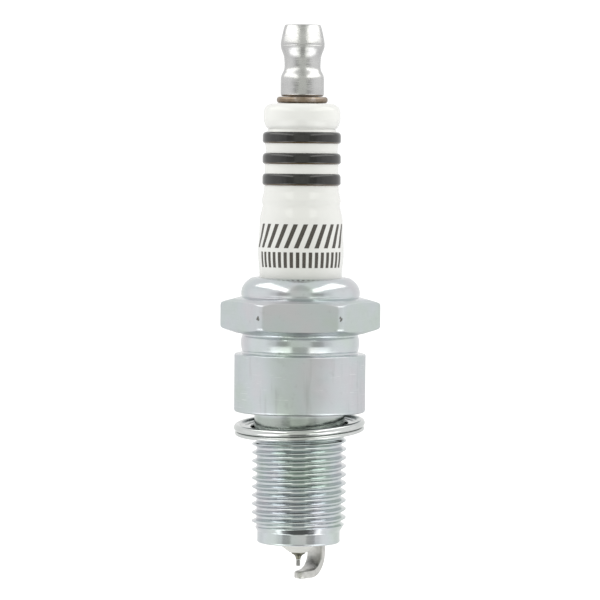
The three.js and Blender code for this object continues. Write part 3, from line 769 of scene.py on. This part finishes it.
def insulator_outline():
    """Up the outside from the tip of the nose, and back down the bore."""
    nose = flowing([
        (1.4, NOSE_SEAM_Z), (1.62, -20.34), (1.88, -20.14), (2.2, -19.9), (2.52, -19.64), (2.76, -19.3),
        (2.86, -18.8),
    ], 4)
    body = rounded([
        (TIP_BORE_R, NOSE_SEAM_Z),
        (TIP_BORE_R, -20.58, 0.05),
        *nose,
        (3.75, -11, 0.4),
        (3.85, -8.4, 0.3),
        (SEAT_R, -7.44, 0.3),
        (SEAT_R, 1.0, 0.3),
        (FLANGE_R, 2.3, 0.5),
        (FLANGE_R, 9.6, 0.5),
        (BODY_R, 10.7, 0.5),
        (BODY_R, BODY_LOW_Z),
    ], steps=4)
    shoulder = rounded([
        (5.05, 41.36),
        (5.28, 41.61),
        (5.42, 41.97, 0.2),
        (5.6, 42.5, 0.3),
        *arc((4.27, 43.62), 1.33, 0, 90, 12),
        (MOUTH_OUTER_R, INSULATOR_TOP_Z),
    ], steps=7)
    bore = rounded([
        (MOUTH_OUTER_R, INSULATOR_TOP_Z),
        (STUD_BORE_R, INSULATOR_TOP_Z, 0.12),
        (STUD_BORE_R, -3.2, 0.3),
        (TIP_BORE_R, -4.0, 0.3),
        (TIP_BORE_R, NOSE_SEAM_Z),
    ])[1:-1]
    return [*body, *BODY_OUTLINE[1:], *corrugation(), *shoulder, *bore]


def radius_on(outline, z):
    """The radius of an outline at a height, where its heights rise."""
    for (r0, z0), (r1, z1) in zip(outline, outline[1:]):
        if z0 <= z <= z1:
            return r0 + (r1 - r0) * (z - z0) / (z1 - z0)
    raise ValueError(f"no outline at {z}")


def glaze_band(low, high, valley):
    """A skin of glaze that wraps over one rib."""
    outer = rib(low, high, BAND_R, valley)
    inner = rib(low + BAND_INSET, high - BAND_INSET, BAND_R, valley)
    inner = [(r - BAND_THICKNESS * 0.9, z) for r, z in inner]
    return outer + inner[::-1]


def add_patch(bm, corners, radius_at, lift, sink, across=6, up=8):
    """A thin curved block over a surface of revolution. corners are (degrees, z), going round."""
    (a0, z0), (a1, z1), (a2, z2), (a3, z3) = corners
    layers = []
    for offset in (lift, -sink):
        layer = []
        for i in range(up + 1):
            t = i / up
            line = []
            for j in range(across + 1):
                s = j / across
                angle = math.radians((a0 * (1 - s) + a1 * s) * (1 - t) + (a3 * (1 - s) + a2 * s) * t)
                z = (z0 * (1 - s) + z1 * s) * (1 - t) + (z3 * (1 - s) + z2 * s) * t
                line.append(bm.verts.new(ring_spot(radius_at(z) + offset, angle, z)))
            layer.append(line)
        layers.append(layer)
    for layer in layers:
        for low, high in zip(layer, layer[1:]):
            for j in range(across):
                bm.faces.new((low[j], low[j + 1], high[j + 1], high[j]))
    rims = []
    for layer in layers:
        right = [line[-1] for line in layer[1:]]
        left = [line[0] for line in layer[-2:0:-1]]
        rims.append([*layer[0], *right, *layer[-1][-2::-1], *left])
    top, base = rims
    for i in range(len(top)):
        j = (i + 1) % len(top)
        bm.faces.new((top[i], top[j], base[j], base[i]))


# Rows of the print: how many marks, their step, half width and lean in degrees, and their heights.
PRINT_ROWS = [
    (11, 13.8, 3.1, 6.5, 24.05, 27.5),
    (16, 8.5, 2.3, 0, 21.2, 23.45),
]
PRINT_FRONT_DEG = -90
PRINT_LIFT = 0.012
PRINT_SINK = 0.05
MARK_SHARP_DEG = 60


def build_print():
    """A generic mark in place of lettering: a row of slanted bars over a row of small blocks."""
    bm = bmesh.new()

    def insulator_radius(z):
        return radius_on(BODY_OUTLINE, z)

    for count, step, half, lean, low, high in PRINT_ROWS:
        for i in range(count):
            middle = PRINT_FRONT_DEG + (i - (count - 1) / 2) * step
            add_patch(bm, [
                (middle - half - lean, low), (middle + half - lean, low),
                (middle + half + lean, high), (middle - half + lean, high),
            ], insulator_radius, PRINT_LIFT, PRINT_SINK)
    return finish_piece(bm, "print_marks", INK, "plug", None, sharp_deg=MARK_SHARP_DEG)


def build_nicks():
    """Small dark nicks left by a socket on the two front corners of the hexagon."""
    bm = bmesh.new()

    def corner_radius(z):
        return HEX_TURNED_R - NICK_LIFT

    for degrees, z in NICKS:
        add_patch(bm, [
            (degrees - 0.8, z - 0.15), (degrees + 0.5, z - 0.2),
            (degrees + 0.9, z + 0.13), (degrees - 0.3, z + 0.2),
        ], corner_radius, NICK_LIFT, NICK_SINK, across=2, up=2)
    return finish_piece(bm, "corner_nicks", NICK, "plug", None, sharp_deg=MARK_SHARP_DEG)


turned("insulator", insulator_outline(), 128, ALUMINA)
for band_name, (low, high), valley in zip(BAND_NAMES, BAND_SPANS, BAND_VALLEYS):
    turned(band_name, glaze_band(low, high, valley), 128, GLAZE)
build_print()
build_nicks()


# --- Terminal stud and nut ----------------------------------------------------

STUD_PITCH = 0.7
STUD_CREST_R = 1.97
STUD_ROOT_R = 1.57
STUD_PHASE_Z = 46.0
STUD_ROOT_SHARE = 0.2
STUD_FLANK_SHARE = 0.65
STUD_START_Z = 46.35
STUD_END_Z = 56.1
STUD_END_R = STUD_ROOT_R - 0.1
STUD_CHAMFER_SLOPE = 0.8
STUD_RUN_OUT = 0.4
STUD_TIP_Z = 8.15
STEM_R = 1.95
GRIP_SPAN = (8.3, 14)
GRIP_GROOVES = 8
GRIP_ROOT_R = 1.5
GRIP_CREST_R = 1.7
COLLAR_RIM_R = 3.71
COLLAR_FACE_R = 3.5
NUT_CLEARANCE = 0.05
NUT_START_Z = 46.4
NUT_END_Z = 56.05
NUT_MOUTH_R = 2.12
NUT_LEAD_IN = 0.5
NUT_TOP_Z = 56.4
SMALL_SHARES = [k / 10 for k in range(10)]
SMALL_SIDES = 72


def stud_form(share):
    """Radius of the stud's thread at a share of its pitch."""
    rise = 1 - abs(2 * share - 1)
    t = min(max((rise - STUD_ROOT_SHARE) / STUD_FLANK_SHARE, 0), 1)
    return STUD_ROOT_R + (STUD_CREST_R - STUD_ROOT_R) * t


def build_stud():
    angles = even_angles(SMALL_SIDES)

    def radius_at(share, z):
        chamfer = STUD_END_R + (STUD_END_Z - z) * STUD_CHAMFER_SLOPE
        run_out = min(max((z - STUD_START_Z) / STUD_RUN_OUT, 0), 1)
        return STUD_ROOT_R * (1 - run_out) + min(stud_form(share), chamfer) * run_out

    bm = bmesh.new()
    grip = []
    pitch = (GRIP_SPAN[1] - GRIP_SPAN[0]) / GRIP_GROOVES
    for i in range(GRIP_GROOVES):
        z = GRIP_SPAN[0] + i * pitch
        grip += [(GRIP_ROOT_R, z), (GRIP_CREST_R, z + 0.3 * pitch), (GRIP_CREST_R, z + 0.75 * pitch)]
    lower = rounded([
        (0, STUD_TIP_Z),
        (1.35, STUD_TIP_Z, 0.1),
        *grip,
        (GRIP_ROOT_R, GRIP_SPAN[1]),
        (STEM_R, 14.4, 0.15),
        (STEM_R, 45.0, 0.08),
        (COLLAR_FACE_R, 45.05, 0.1),
        (COLLAR_RIM_R, 45.3, 0.2),
        (COLLAR_RIM_R, 45.7, 0.2),
        (COLLAR_FACE_R, 45.93, 0.1),
        (1.75, 45.95, 0.1),
        (STUD_ROOT_R, STUD_START_Z - 0.1, 0.06),
        (STUD_ROOT_R, STUD_START_Z),
    ], steps=4)
    tip = rounded([(STUD_END_R, STUD_END_Z), (0.9, STUD_END_Z, 0.1), (0, STUD_END_Z - 0.12)])
    add_rows(bm, lower, angles)
    add_screw(bm, STUD_START_Z, STUD_END_Z, STUD_PHASE_Z, STUD_PITCH, radius_at, SMALL_SHARES, angles)
    add_rows(bm, tip, angles)
    return finish_piece(bm, "terminal_stud_fine", TINTED, "plug", "terminal_stud")


def build_nut():
    angles = even_angles(SMALL_SIDES)

    def radius_at(share, z):
        near = min((z - NUT_START_Z) / NUT_LEAD_IN, (NUT_END_Z - z) / NUT_LEAD_IN, 1)
        inner = stud_form(share) + NUT_CLEARANCE
        return NUT_MOUTH_R * (1 - near) + inner * near

    bm = bmesh.new()
    outside = rounded([
        (NUT_MOUTH_R, NUT_START_Z),
        (2.3, 46.02, 0.1),
        (2.95, 46.0, 0.12),
        (3.15, 46.22, 0.14),
        *flowing([
            (3.16, 48.2), (3.15, 48.6), (3.1, 48.88), (3.01, 49.15), (2.88, 49.42), (2.74, 49.7),
            (2.655, 49.98), (2.62, 50.3), (2.625, 50.8), (2.66, 51.3), (2.7, 51.7), (2.79, 52.05),
            (2.92, 52.4), (3.05, 52.72), (3.14, 53.02), (3.19, 53.3), (3.165, 53.38), (3.195, 53.46),
            (3.19, 53.75), (3.12, 54.2), (3.04, 54.6), (2.95, 55.05), (2.85, 55.5), (2.76, 55.85),
            (2.68, 56.1),
        ], 4),
        (2.58, NUT_TOP_Z, 0.16),
        (2.24, NUT_TOP_Z, 0.06),
        (NUT_MOUTH_R, 56.22, 0.06),
        (NUT_MOUTH_R, NUT_END_Z),
    ], steps=4)
    add_rows(bm, outside, angles)
    add_screw(bm, NUT_START_Z, NUT_END_Z, STUD_PHASE_Z, STUD_PITCH, radius_at, SMALL_SHARES, angles)
    return finish_piece(bm, "terminal_nut_fine", NICKEL, "terminal_nut", "terminal_nut")


build_stud()
build_nut()


# --- Packing, seals, resistor and centre electrode ----------------------------

RING_SIDES = 96
SEAL_SIDES = 64
CORE_SIDES = 48
PACKING_R = 6.67
PACKING_WIRE_R = 0.49
SEAT_PACKING_SPAN = (4.17, 5.03)
SEAT_PACKING_LOW = 0.09
SEAT_PACKING_HIGH = 0.58
TALC_SPAN = (6.1, 7.2)
TALC_LOW_Z = 11.72
TALC_HIGH_Z = 16.68
GLASS_R = 1.99
GRIP_POCKET_R = 1.75
GRIP_POCKET_Z = 8.1
SHEATH_R = 1.0
SHEATH_HEAD_R = 1.79
SHEATH_HEAD_Z = -2.55
SHEATH_END_Z = -21.55
CORE_R = 0.6
CORE_POCKET_R = 0.65
CORE_END_Z = -19.6
CORE_POCKET_Z = -19.65


def ledge_z(radius):
    """Height of the shell's conical ledge at a radius."""
    slope = (LEDGE_TOP_Z - MID_BORE_BOTTOM_Z) / (LEDGE_R - MID_BORE_R)
    return MID_BORE_BOTTOM_Z + (radius - MID_BORE_R) * slope


def rod(radius, low, high, ease):
    return rounded([(0, low), (radius, low, ease), (radius, high, ease), (0, high)])


for ring_name, ring_z in (("packing_ring_upper", 17.25), ("packing_ring_lower", 11.15)):
    wire = arc((PACKING_R, ring_z), PACKING_WIRE_R, -90, 255, 23)
    turned(ring_name, wire, RING_SIDES, STEEL)
turned("talc_seal", rounded([
    (TALC_SPAN[0], TALC_LOW_Z, 0.1),
    (TALC_SPAN[1], TALC_LOW_Z, 0.1),
    (TALC_SPAN[1], TALC_HIGH_Z, 0.1),
    (TALC_SPAN[0], TALC_HIGH_Z, 0.1),
], closed=True), RING_SIDES, TALC)
seat_inner, seat_outer = SEAT_PACKING_SPAN
turned("seat_packing", rounded([
    (seat_inner, ledge_z(seat_inner) + SEAT_PACKING_LOW, 0.1),
    (seat_outer, ledge_z(seat_outer) + SEAT_PACKING_LOW, 0.1),
    (seat_outer, ledge_z(seat_outer) + SEAT_PACKING_HIGH, 0.1),
    (seat_inner, ledge_z(seat_inner) + SEAT_PACKING_HIGH, 0.1),
], closed=True), RING_SIDES, STEEL)
turned("glass_seal_upper", rounded([
    (0, 6.1),
    (GLASS_R, 6.1, 0.2),
    (GLASS_R, 11, 0.1),
    (GRIP_POCKET_R, 10.9, 0.05),
    (GRIP_POCKET_R, GRIP_POCKET_Z, 0.1),
    (0, GRIP_POCKET_Z),
]), SEAL_SIDES, COPPER_GLASS)
turned("resistor", rod(GLASS_R, -0.45, 6, 0.25), SEAL_SIDES, CARBON_GLASS)
turned("glass_seal_lower", rod(GLASS_R, -2.45, -0.55, 0.25), SEAL_SIDES, COPPER_GLASS)
turned("centre_electrode", rounded([
    (0, SHEATH_END_Z),
    (0.33, SHEATH_END_Z, 0.04),
    (0.4, -21.35, 0.1),
    (0.47, -21.14, 0.1),
    (0.66, -20.95, 0.12),
    (SHEATH_R, -20.78, 0.08),
    (SHEATH_R, -4.05, 0.2),
    (SHEATH_HEAD_R, -3.15, 0.2),
    (SHEATH_HEAD_R, SHEATH_HEAD_Z, 0.12),
    (CORE_POCKET_R, SHEATH_HEAD_Z, 0.05),
    (CORE_POCKET_R, CORE_POCKET_Z, 0.2),
    (0, CORE_POCKET_Z),
]), SEAL_SIDES, SHEATH)
turned("centre_electrode_core", rod(CORE_R, CORE_END_Z, SHEATH_HEAD_Z, 0.15), CORE_SIDES, COPPER)
turned("tip_weld", rounded([
    (0, -21.74),
    (0.31, -21.74, 0.02),
    (0.345, -21.7, 0.03),
    (0.36, -21.65, 0.03),
    (0.345, -21.6, 0.03),
    (0.32, -21.56, 0.02),
    (0, -21.56),
]), SEAL_SIDES, ALLOY)
turned("iridium_tip", rod(0.3, -22.6, -21.75, 0.03), SEAL_SIDES, IRIDIUM)


# --- Ground electrode and its weld --------------------------------------------

GROUND_TURN = Matrix.Rotation(math.radians(60), 4, "Z")
GROUND_FACE_Z = -23.4
GROUND_THICKNESS = 1.12
GROUND_WIDTH = 2.6
GROUND_TIP_WIDTH = 1.4
GROUND_ROOT_R = 5.32
GROUND_ROOT_Z = -19.49
GROUND_ROOT_STEP = 0.36
GROUND_BEND_R = 3.05
GROUND_BEND_STEP_DEG = 6
GROUND_TIP_X = -0.3
GROUND_TIP_STEP = 0.3
GROUND_TAPER_X = 2.6
GROUND_EDGE = 0.28
# The end of the bar is rounded over the first inset, in steps that crowd towards the end.
GROUND_END_INSETS = (0.75, 0.55, 0.38, 0.24, 0.13, 0.05, 0.01, 0.0)
WELD_EDGE = 0.3
WELD_WOBBLE = 0.03
# Heights of the weld, and how far it stands out from the bar there.
WELD_LEVELS = [(-19.17, -0.04), (-19.23, 0.06), (-19.32, 0.1), (-19.41, 0.06), (-19.47, -0.06)]


def eased_rectangle(width, height, ease, steps=4):
    """A rectangle with round corners, as (across, through) points going round."""
    half_w, half_h = width / 2 - ease, height / 2 - ease
    points = []
    for quarter, (sx, sy) in enumerate([(1, 1), (-1, 1), (-1, -1), (1, -1)]):
        points += arc((sx * half_w, sy * half_h), ease, 90 * quarter, 90 * quarter + 90, steps)
    return points


def ground_path():
    """The bar's centre line as (x, z, lean): down from its root, round the bend and in to its end."""
    middle_z = GROUND_FACE_Z - GROUND_THICKNESS / 2
    bend_z = middle_z + GROUND_BEND_R
    bend_x = GROUND_ROOT_R - GROUND_BEND_R
    path = [(GROUND_ROOT_R, GROUND_ROOT_Z - GROUND_ROOT_STEP * k, 90) for k in range(4)]
    for degrees in range(0, 91, GROUND_BEND_STEP_DEG):
        angle = math.radians(degrees)
        x = bend_x + GROUND_BEND_R * math.cos(angle)
        path.append((x, bend_z - GROUND_BEND_R * math.sin(angle), 90 - degrees))
    path += [(bend_x - GROUND_TIP_STEP * k, middle_z, 0) for k in range(1, 8)]
    path = [spot for spot in path if spot[0] > GROUND_TIP_X + GROUND_END_INSETS[0]]
    return path + [(GROUND_TIP_X + inset, middle_z, 0) for inset in GROUND_END_INSETS]


def build_ground_electrode():
    """A bar that narrows towards its rounded end."""
    ease = GROUND_END_INSETS[0]
    bm = bmesh.new()
    sections = []
    for x, z, lean in ground_path():
        share = min(max((GROUND_TAPER_X - x) / (GROUND_TAPER_X - GROUND_TIP_X), 0), 1) if lean < 45 else 0
        width = GROUND_WIDTH + (GROUND_TIP_WIDTH - GROUND_WIDTH) * share
        inset = max(ease - (x - GROUND_TIP_X), 0)
        drawn = ease - math.sqrt(ease ** 2 - inset ** 2)
        through = Vector((math.sin(math.radians(lean)), 0, -math.cos(math.radians(lean))))
        section = []
        for across, depth in eased_rectangle(width - 2 * drawn, GROUND_THICKNESS - 0.5 * drawn, GROUND_EDGE):
            spot = Vector((x, across, z)) + through * depth
            section.append(bm.verts.new(spot * MM))
        sections.append(section)
    add_loft(bm, sections)
    bm.transform(GROUND_TURN)
    return finish_piece(bm, "ground_electrode_fine", ALLOY, "plug", "ground_electrode")


def build_ground_weld():
    """A low cushion of weld metal between the shell's end and the bar, slightly uneven."""
    bm = bmesh.new()
    sections = []
    for z, grow in WELD_LEVELS:
        section = []
        outline = eased_rectangle(GROUND_WIDTH + 2 * grow, GROUND_THICKNESS + 2 * grow, WELD_EDGE, 6)
        for across, through in outline:
            wobble = 1 + WELD_WOBBLE * noise.noise(Vector((across * 1.7, through * 1.7, z * 3)))
            section.append(bm.verts.new(Vector((GROUND_ROOT_R + through * wobble, across * wobble, z)) * MM))
        sections.append(section)
    add_loft(bm, sections)
    bm.transform(GROUND_TURN)
    return finish_piece(bm, "ground_weld_fine", ALLOY, "plug", "ground_weld")


build_ground_electrode()
build_ground_weld()


# --- Gasket -------------------------------------------------------------------

GASKET_Z = -2.15
GASKET_SHEET = 0.27
GASKET_SIDES = 160
GASKET_FLANGE_Z = -0.685
# Degrees about X and Y, then the directions of the claws and the size of their pinch.
GASKET_TILT = (3.7, -2.7)
GASKET_CLAWS = (-156, -22, 92)
CLAW_SPREAD_DEG = 4.5
CLAW_FROM_R = 8.3
CLAW_REACH = 1.1
CLAW_IN = 0.2
CLAW_DOWN = 0.14


def gasket_outline():
    """Sheet folded into two rolls at the rim, with a dished flange above and a flat one below."""
    path = [(7.25, 0.22), (7.7, 0.2), (8.1, 0.19), (8.4, 0.24), (8.6, 0.36)]
    path += arc((9.057, 0.278), 0.408, 150, -90, 20)
    path += arc((8.95, -0.267), 0.138, 90, 270, 8)
    path += arc((9.21, -0.545), 0.14, 90, -90, 10)
    path += [(radius, GASKET_FLANGE_Z) for radius in (8.6, 8.0, 7.45)]
    return ribbon(path, GASKET_SHEET)


def clawed(radius, z):
    """A gasket row: the upper flange is pinched inwards at the claws that hold the ring on the thread."""
    def at(angle):
        pinch = 0
        for claw in GASKET_CLAWS:
            away = (math.degrees(angle) - claw + 180) % 360 - 180
            pinch += math.exp(-(away / CLAW_SPREAD_DEG) ** 2)
        pinch *= min(max((CLAW_FROM_R - radius) / CLAW_REACH, 0), 1) if z > 0 else 0
        return radius - CLAW_IN * pinch, z - CLAW_DOWN * pinch
    return at


def build_gasket():
    tilt_x, tilt_y = (math.radians(degrees) for degrees in GASKET_TILT)
    tilt = Matrix.Rotation(tilt_x, 4, "X") @ Matrix.Rotation(tilt_y, 4, "Y")
    bm = bmesh.new()
    add_rows(bm, [clawed(*point) for point in gasket_outline()], even_angles(GASKET_SIDES), closed=True)
    bm.transform(Matrix.Translation((0, 0, GASKET_Z * MM)) @ tilt)
    return finish_piece(bm, "gasket_fine", GASKET, "gasket", "gasket")


build_gasket()


# --- Stage, light and camera --------------------------------------------------

# Lengths in this section are in metres, and directions in degrees.
WHITE = (1, 1, 1)
FLOOR_DROP = 0.010
FLOOR_HALF = 6.0
FLOOR_COLOUR = (0.92, 0.92, 0.92)
FLOOR_GLOW = 0.35
BACKDROP_LEVEL = 1.1
TENT_LEVEL = 0.95
TENT_FRONT_TINT = (0.98, 1.0, 0.94)
TENT_TINT_TURN = (20, 50)
# Turn from and to, rise from and to, softness of the edges, and the change of level inside.
TENT_PANELS = [
    (-90, 22, -8, 100, 4, -0.14),
    (-90, 22, 30, 75, 8, -0.16),
    (22, 46, -12, 20, 4, -0.45),
    (46, 60, -8, 18, 5, -0.12),
    (66, 118, -60, 22, 10, 0.12),
    (18, 62, -46, -13, 4, 0.5),
    (22, 46, -46, -27, 4, 0.8),
    (46, 88, -55, -27, 5, 1.6),
    (-90, 17, -44, -11, 4, -0.38),
    (-90, 46, -100, -46, 4, -0.82),
    (46, 72, -100, -57, 4, -0.7),
    (72, 190, -100, -57, 4, 0.3),
]
SOFTBOX_X = 0.080
SOFTBOX_Y = (-0.165, 0.046)
SOFTBOX_Z = (0.076, 0.155)
SOFTBOX_RADIANCE = 1.52
SOFTBOX_TINT = (1.0, 1.0, 0.95)
CAMERA_DISTANCE = 0.52
CAMERA_HEIGHT = 0.0382
CAMERA_AIM = (-0.00007, 0.01634)
CAMERA_FOCAL = 214
CAMERA_SENSOR = 36
CAMERA_CLIP = (0.01, 50)
CAMERA_ROLL_DEG = 0.5


def build_floor():
    """A pale floor below the plug that neither lights it nor shows in it."""
    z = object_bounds()[0].z - FLOOR_DROP
    bm = bmesh.new()
    signs = ((-1, -1), (1, -1), (1, 1), (-1, 1))
    bm.faces.new([bm.verts.new((x * FLOOR_HALF, y * FLOOR_HALF, z)) for x, y in signs])
    mesh = bpy.data.meshes.new("floor")
    bm.to_mesh(mesh)
    bm.free()
    floor = bpy.data.objects.new("floor", mesh)
    scene.collection.objects.link(floor)
    pale = Surface("floor_m", 0.0, 0.9)
    pale.paint(FLOOR_COLOUR)
    pale.feed(pale.shader.inputs["Emission Color"], WHITE)
    pale.shader.inputs["Emission Strength"].default_value = FLOOR_GLOW
    mesh.materials.append(pale.material)
    floor.visible_glossy = False
    floor.visible_diffuse = False
    floor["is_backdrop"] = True


def build_world():
    """A white light tent, mirrored left and right.

    Turn is counted from -Y, where the camera stands at rest, and rise from the horizontal. Each panel
    adds its change to the tent's level over its span. The camera sees an even white backdrop instead.
    """
    world = bpy.data.worlds.new("studio")
    graph = Graph(world)
    scene.world = world
    split = graph.nodes.new("ShaderNodeSeparateXYZ")
    graph.links.new(graph.nodes.new("ShaderNodeTexCoord").outputs["Generated"], split.inputs[0])
    forward = graph.times(split.outputs["Y"], -1.0)
    sideways = graph.math("ABSOLUTE", split.outputs["X"])
    turn = graph.math("DEGREES", graph.math("ARCTAN2", sideways, forward))
    rise = graph.math("DEGREES", graph.math("ARCSINE", split.outputs["Z"]))
    level = TENT_LEVEL
    for turn_from, turn_to, rise_from, rise_to, soft, change in TENT_PANELS:
        across = graph.window(turn, (turn_from - soft, turn_from + soft), (turn_to + soft, turn_to - soft))
        up = graph.window(rise, (rise_from - soft, rise_from + soft), (rise_to + soft, rise_to - soft))
        panel = graph.times(across, up)
        level = graph.math("ADD", level, graph.times(panel, change))
    tent = graph.nodes["Background"]
    graph.links.new(level, tent.inputs["Strength"])
    tint = graph.mix(graph.remap(turn, *TENT_TINT_TURN), TENT_FRONT_TINT, WHITE)
    graph.links.new(tint, tent.inputs["Color"])
    backdrop = graph.nodes.new("ShaderNodeBackground")
    graph.feed(backdrop.inputs["Color"], WHITE)
    backdrop.inputs["Strength"].default_value = BACKDROP_LEVEL
    choose = graph.nodes.new("ShaderNodeMixShader")
    seen = graph.nodes.new("ShaderNodeLightPath").outputs["Is Camera Ray"]
    for socket, source in zip(choose.inputs, (seen, tent.outputs[0], backdrop.outputs[0])):
        graph.links.new(source, socket)
    graph.links.new(choose.outputs[0], graph.nodes["World Output"].inputs["Surface"])


def build_softboxes():
    """Two upright light panels that face each other across the plug, from behind it to well in front."""
    depth, height = SOFTBOX_Y[1] - SOFTBOX_Y[0], SOFTBOX_Z[1] - SOFTBOX_Z[0]
    for name, side in (("softbox_left", -1), ("softbox_right", 1)):
        data = bpy.data.lights.new(name, "AREA")
        data.shape = "RECTANGLE"
        data.size, data.size_y = depth, height
        data.color = SOFTBOX_TINT
        data.energy = SOFTBOX_RADIANCE * math.pi * depth * height
        panel = bpy.data.objects.new(name, data)
        scene.collection.objects.link(panel)
        panel.location = (side * SOFTBOX_X, sum(SOFTBOX_Y) / 2, sum(SOFTBOX_Z) / 2)
        panel.rotation_mode = "QUATERNION"
        panel.rotation_quaternion = Matrix(((0, 0, side), (side, 0, 0), (0, 1, 0))).to_quaternion()
        panel.visible_camera = False


def build_camera():
    data = bpy.data.cameras.new("camera")
    data.lens = CAMERA_FOCAL
    data.sensor_width = CAMERA_SENSOR
    data.clip_start, data.clip_end = CAMERA_CLIP
    camera = bpy.data.objects.new("camera", data)
    scene.collection.objects.link(camera)
    camera.location = (0, -CAMERA_DISTANCE, CAMERA_HEIGHT)
    aim = Vector((CAMERA_AIM[0], 0, CAMERA_AIM[1])) - camera.location
    camera.rotation_mode = "QUATERNION"
    roll = Matrix.Rotation(math.radians(CAMERA_ROLL_DEG), 4, "Z").to_quaternion()
    camera.rotation_quaternion = aim.to_track_quat("-Z", "Y") @ roll
    scene.camera = camera


build_floor()
build_world()
build_softboxes()
build_camera()
scene.view_settings.view_transform = "Standard"

low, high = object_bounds()
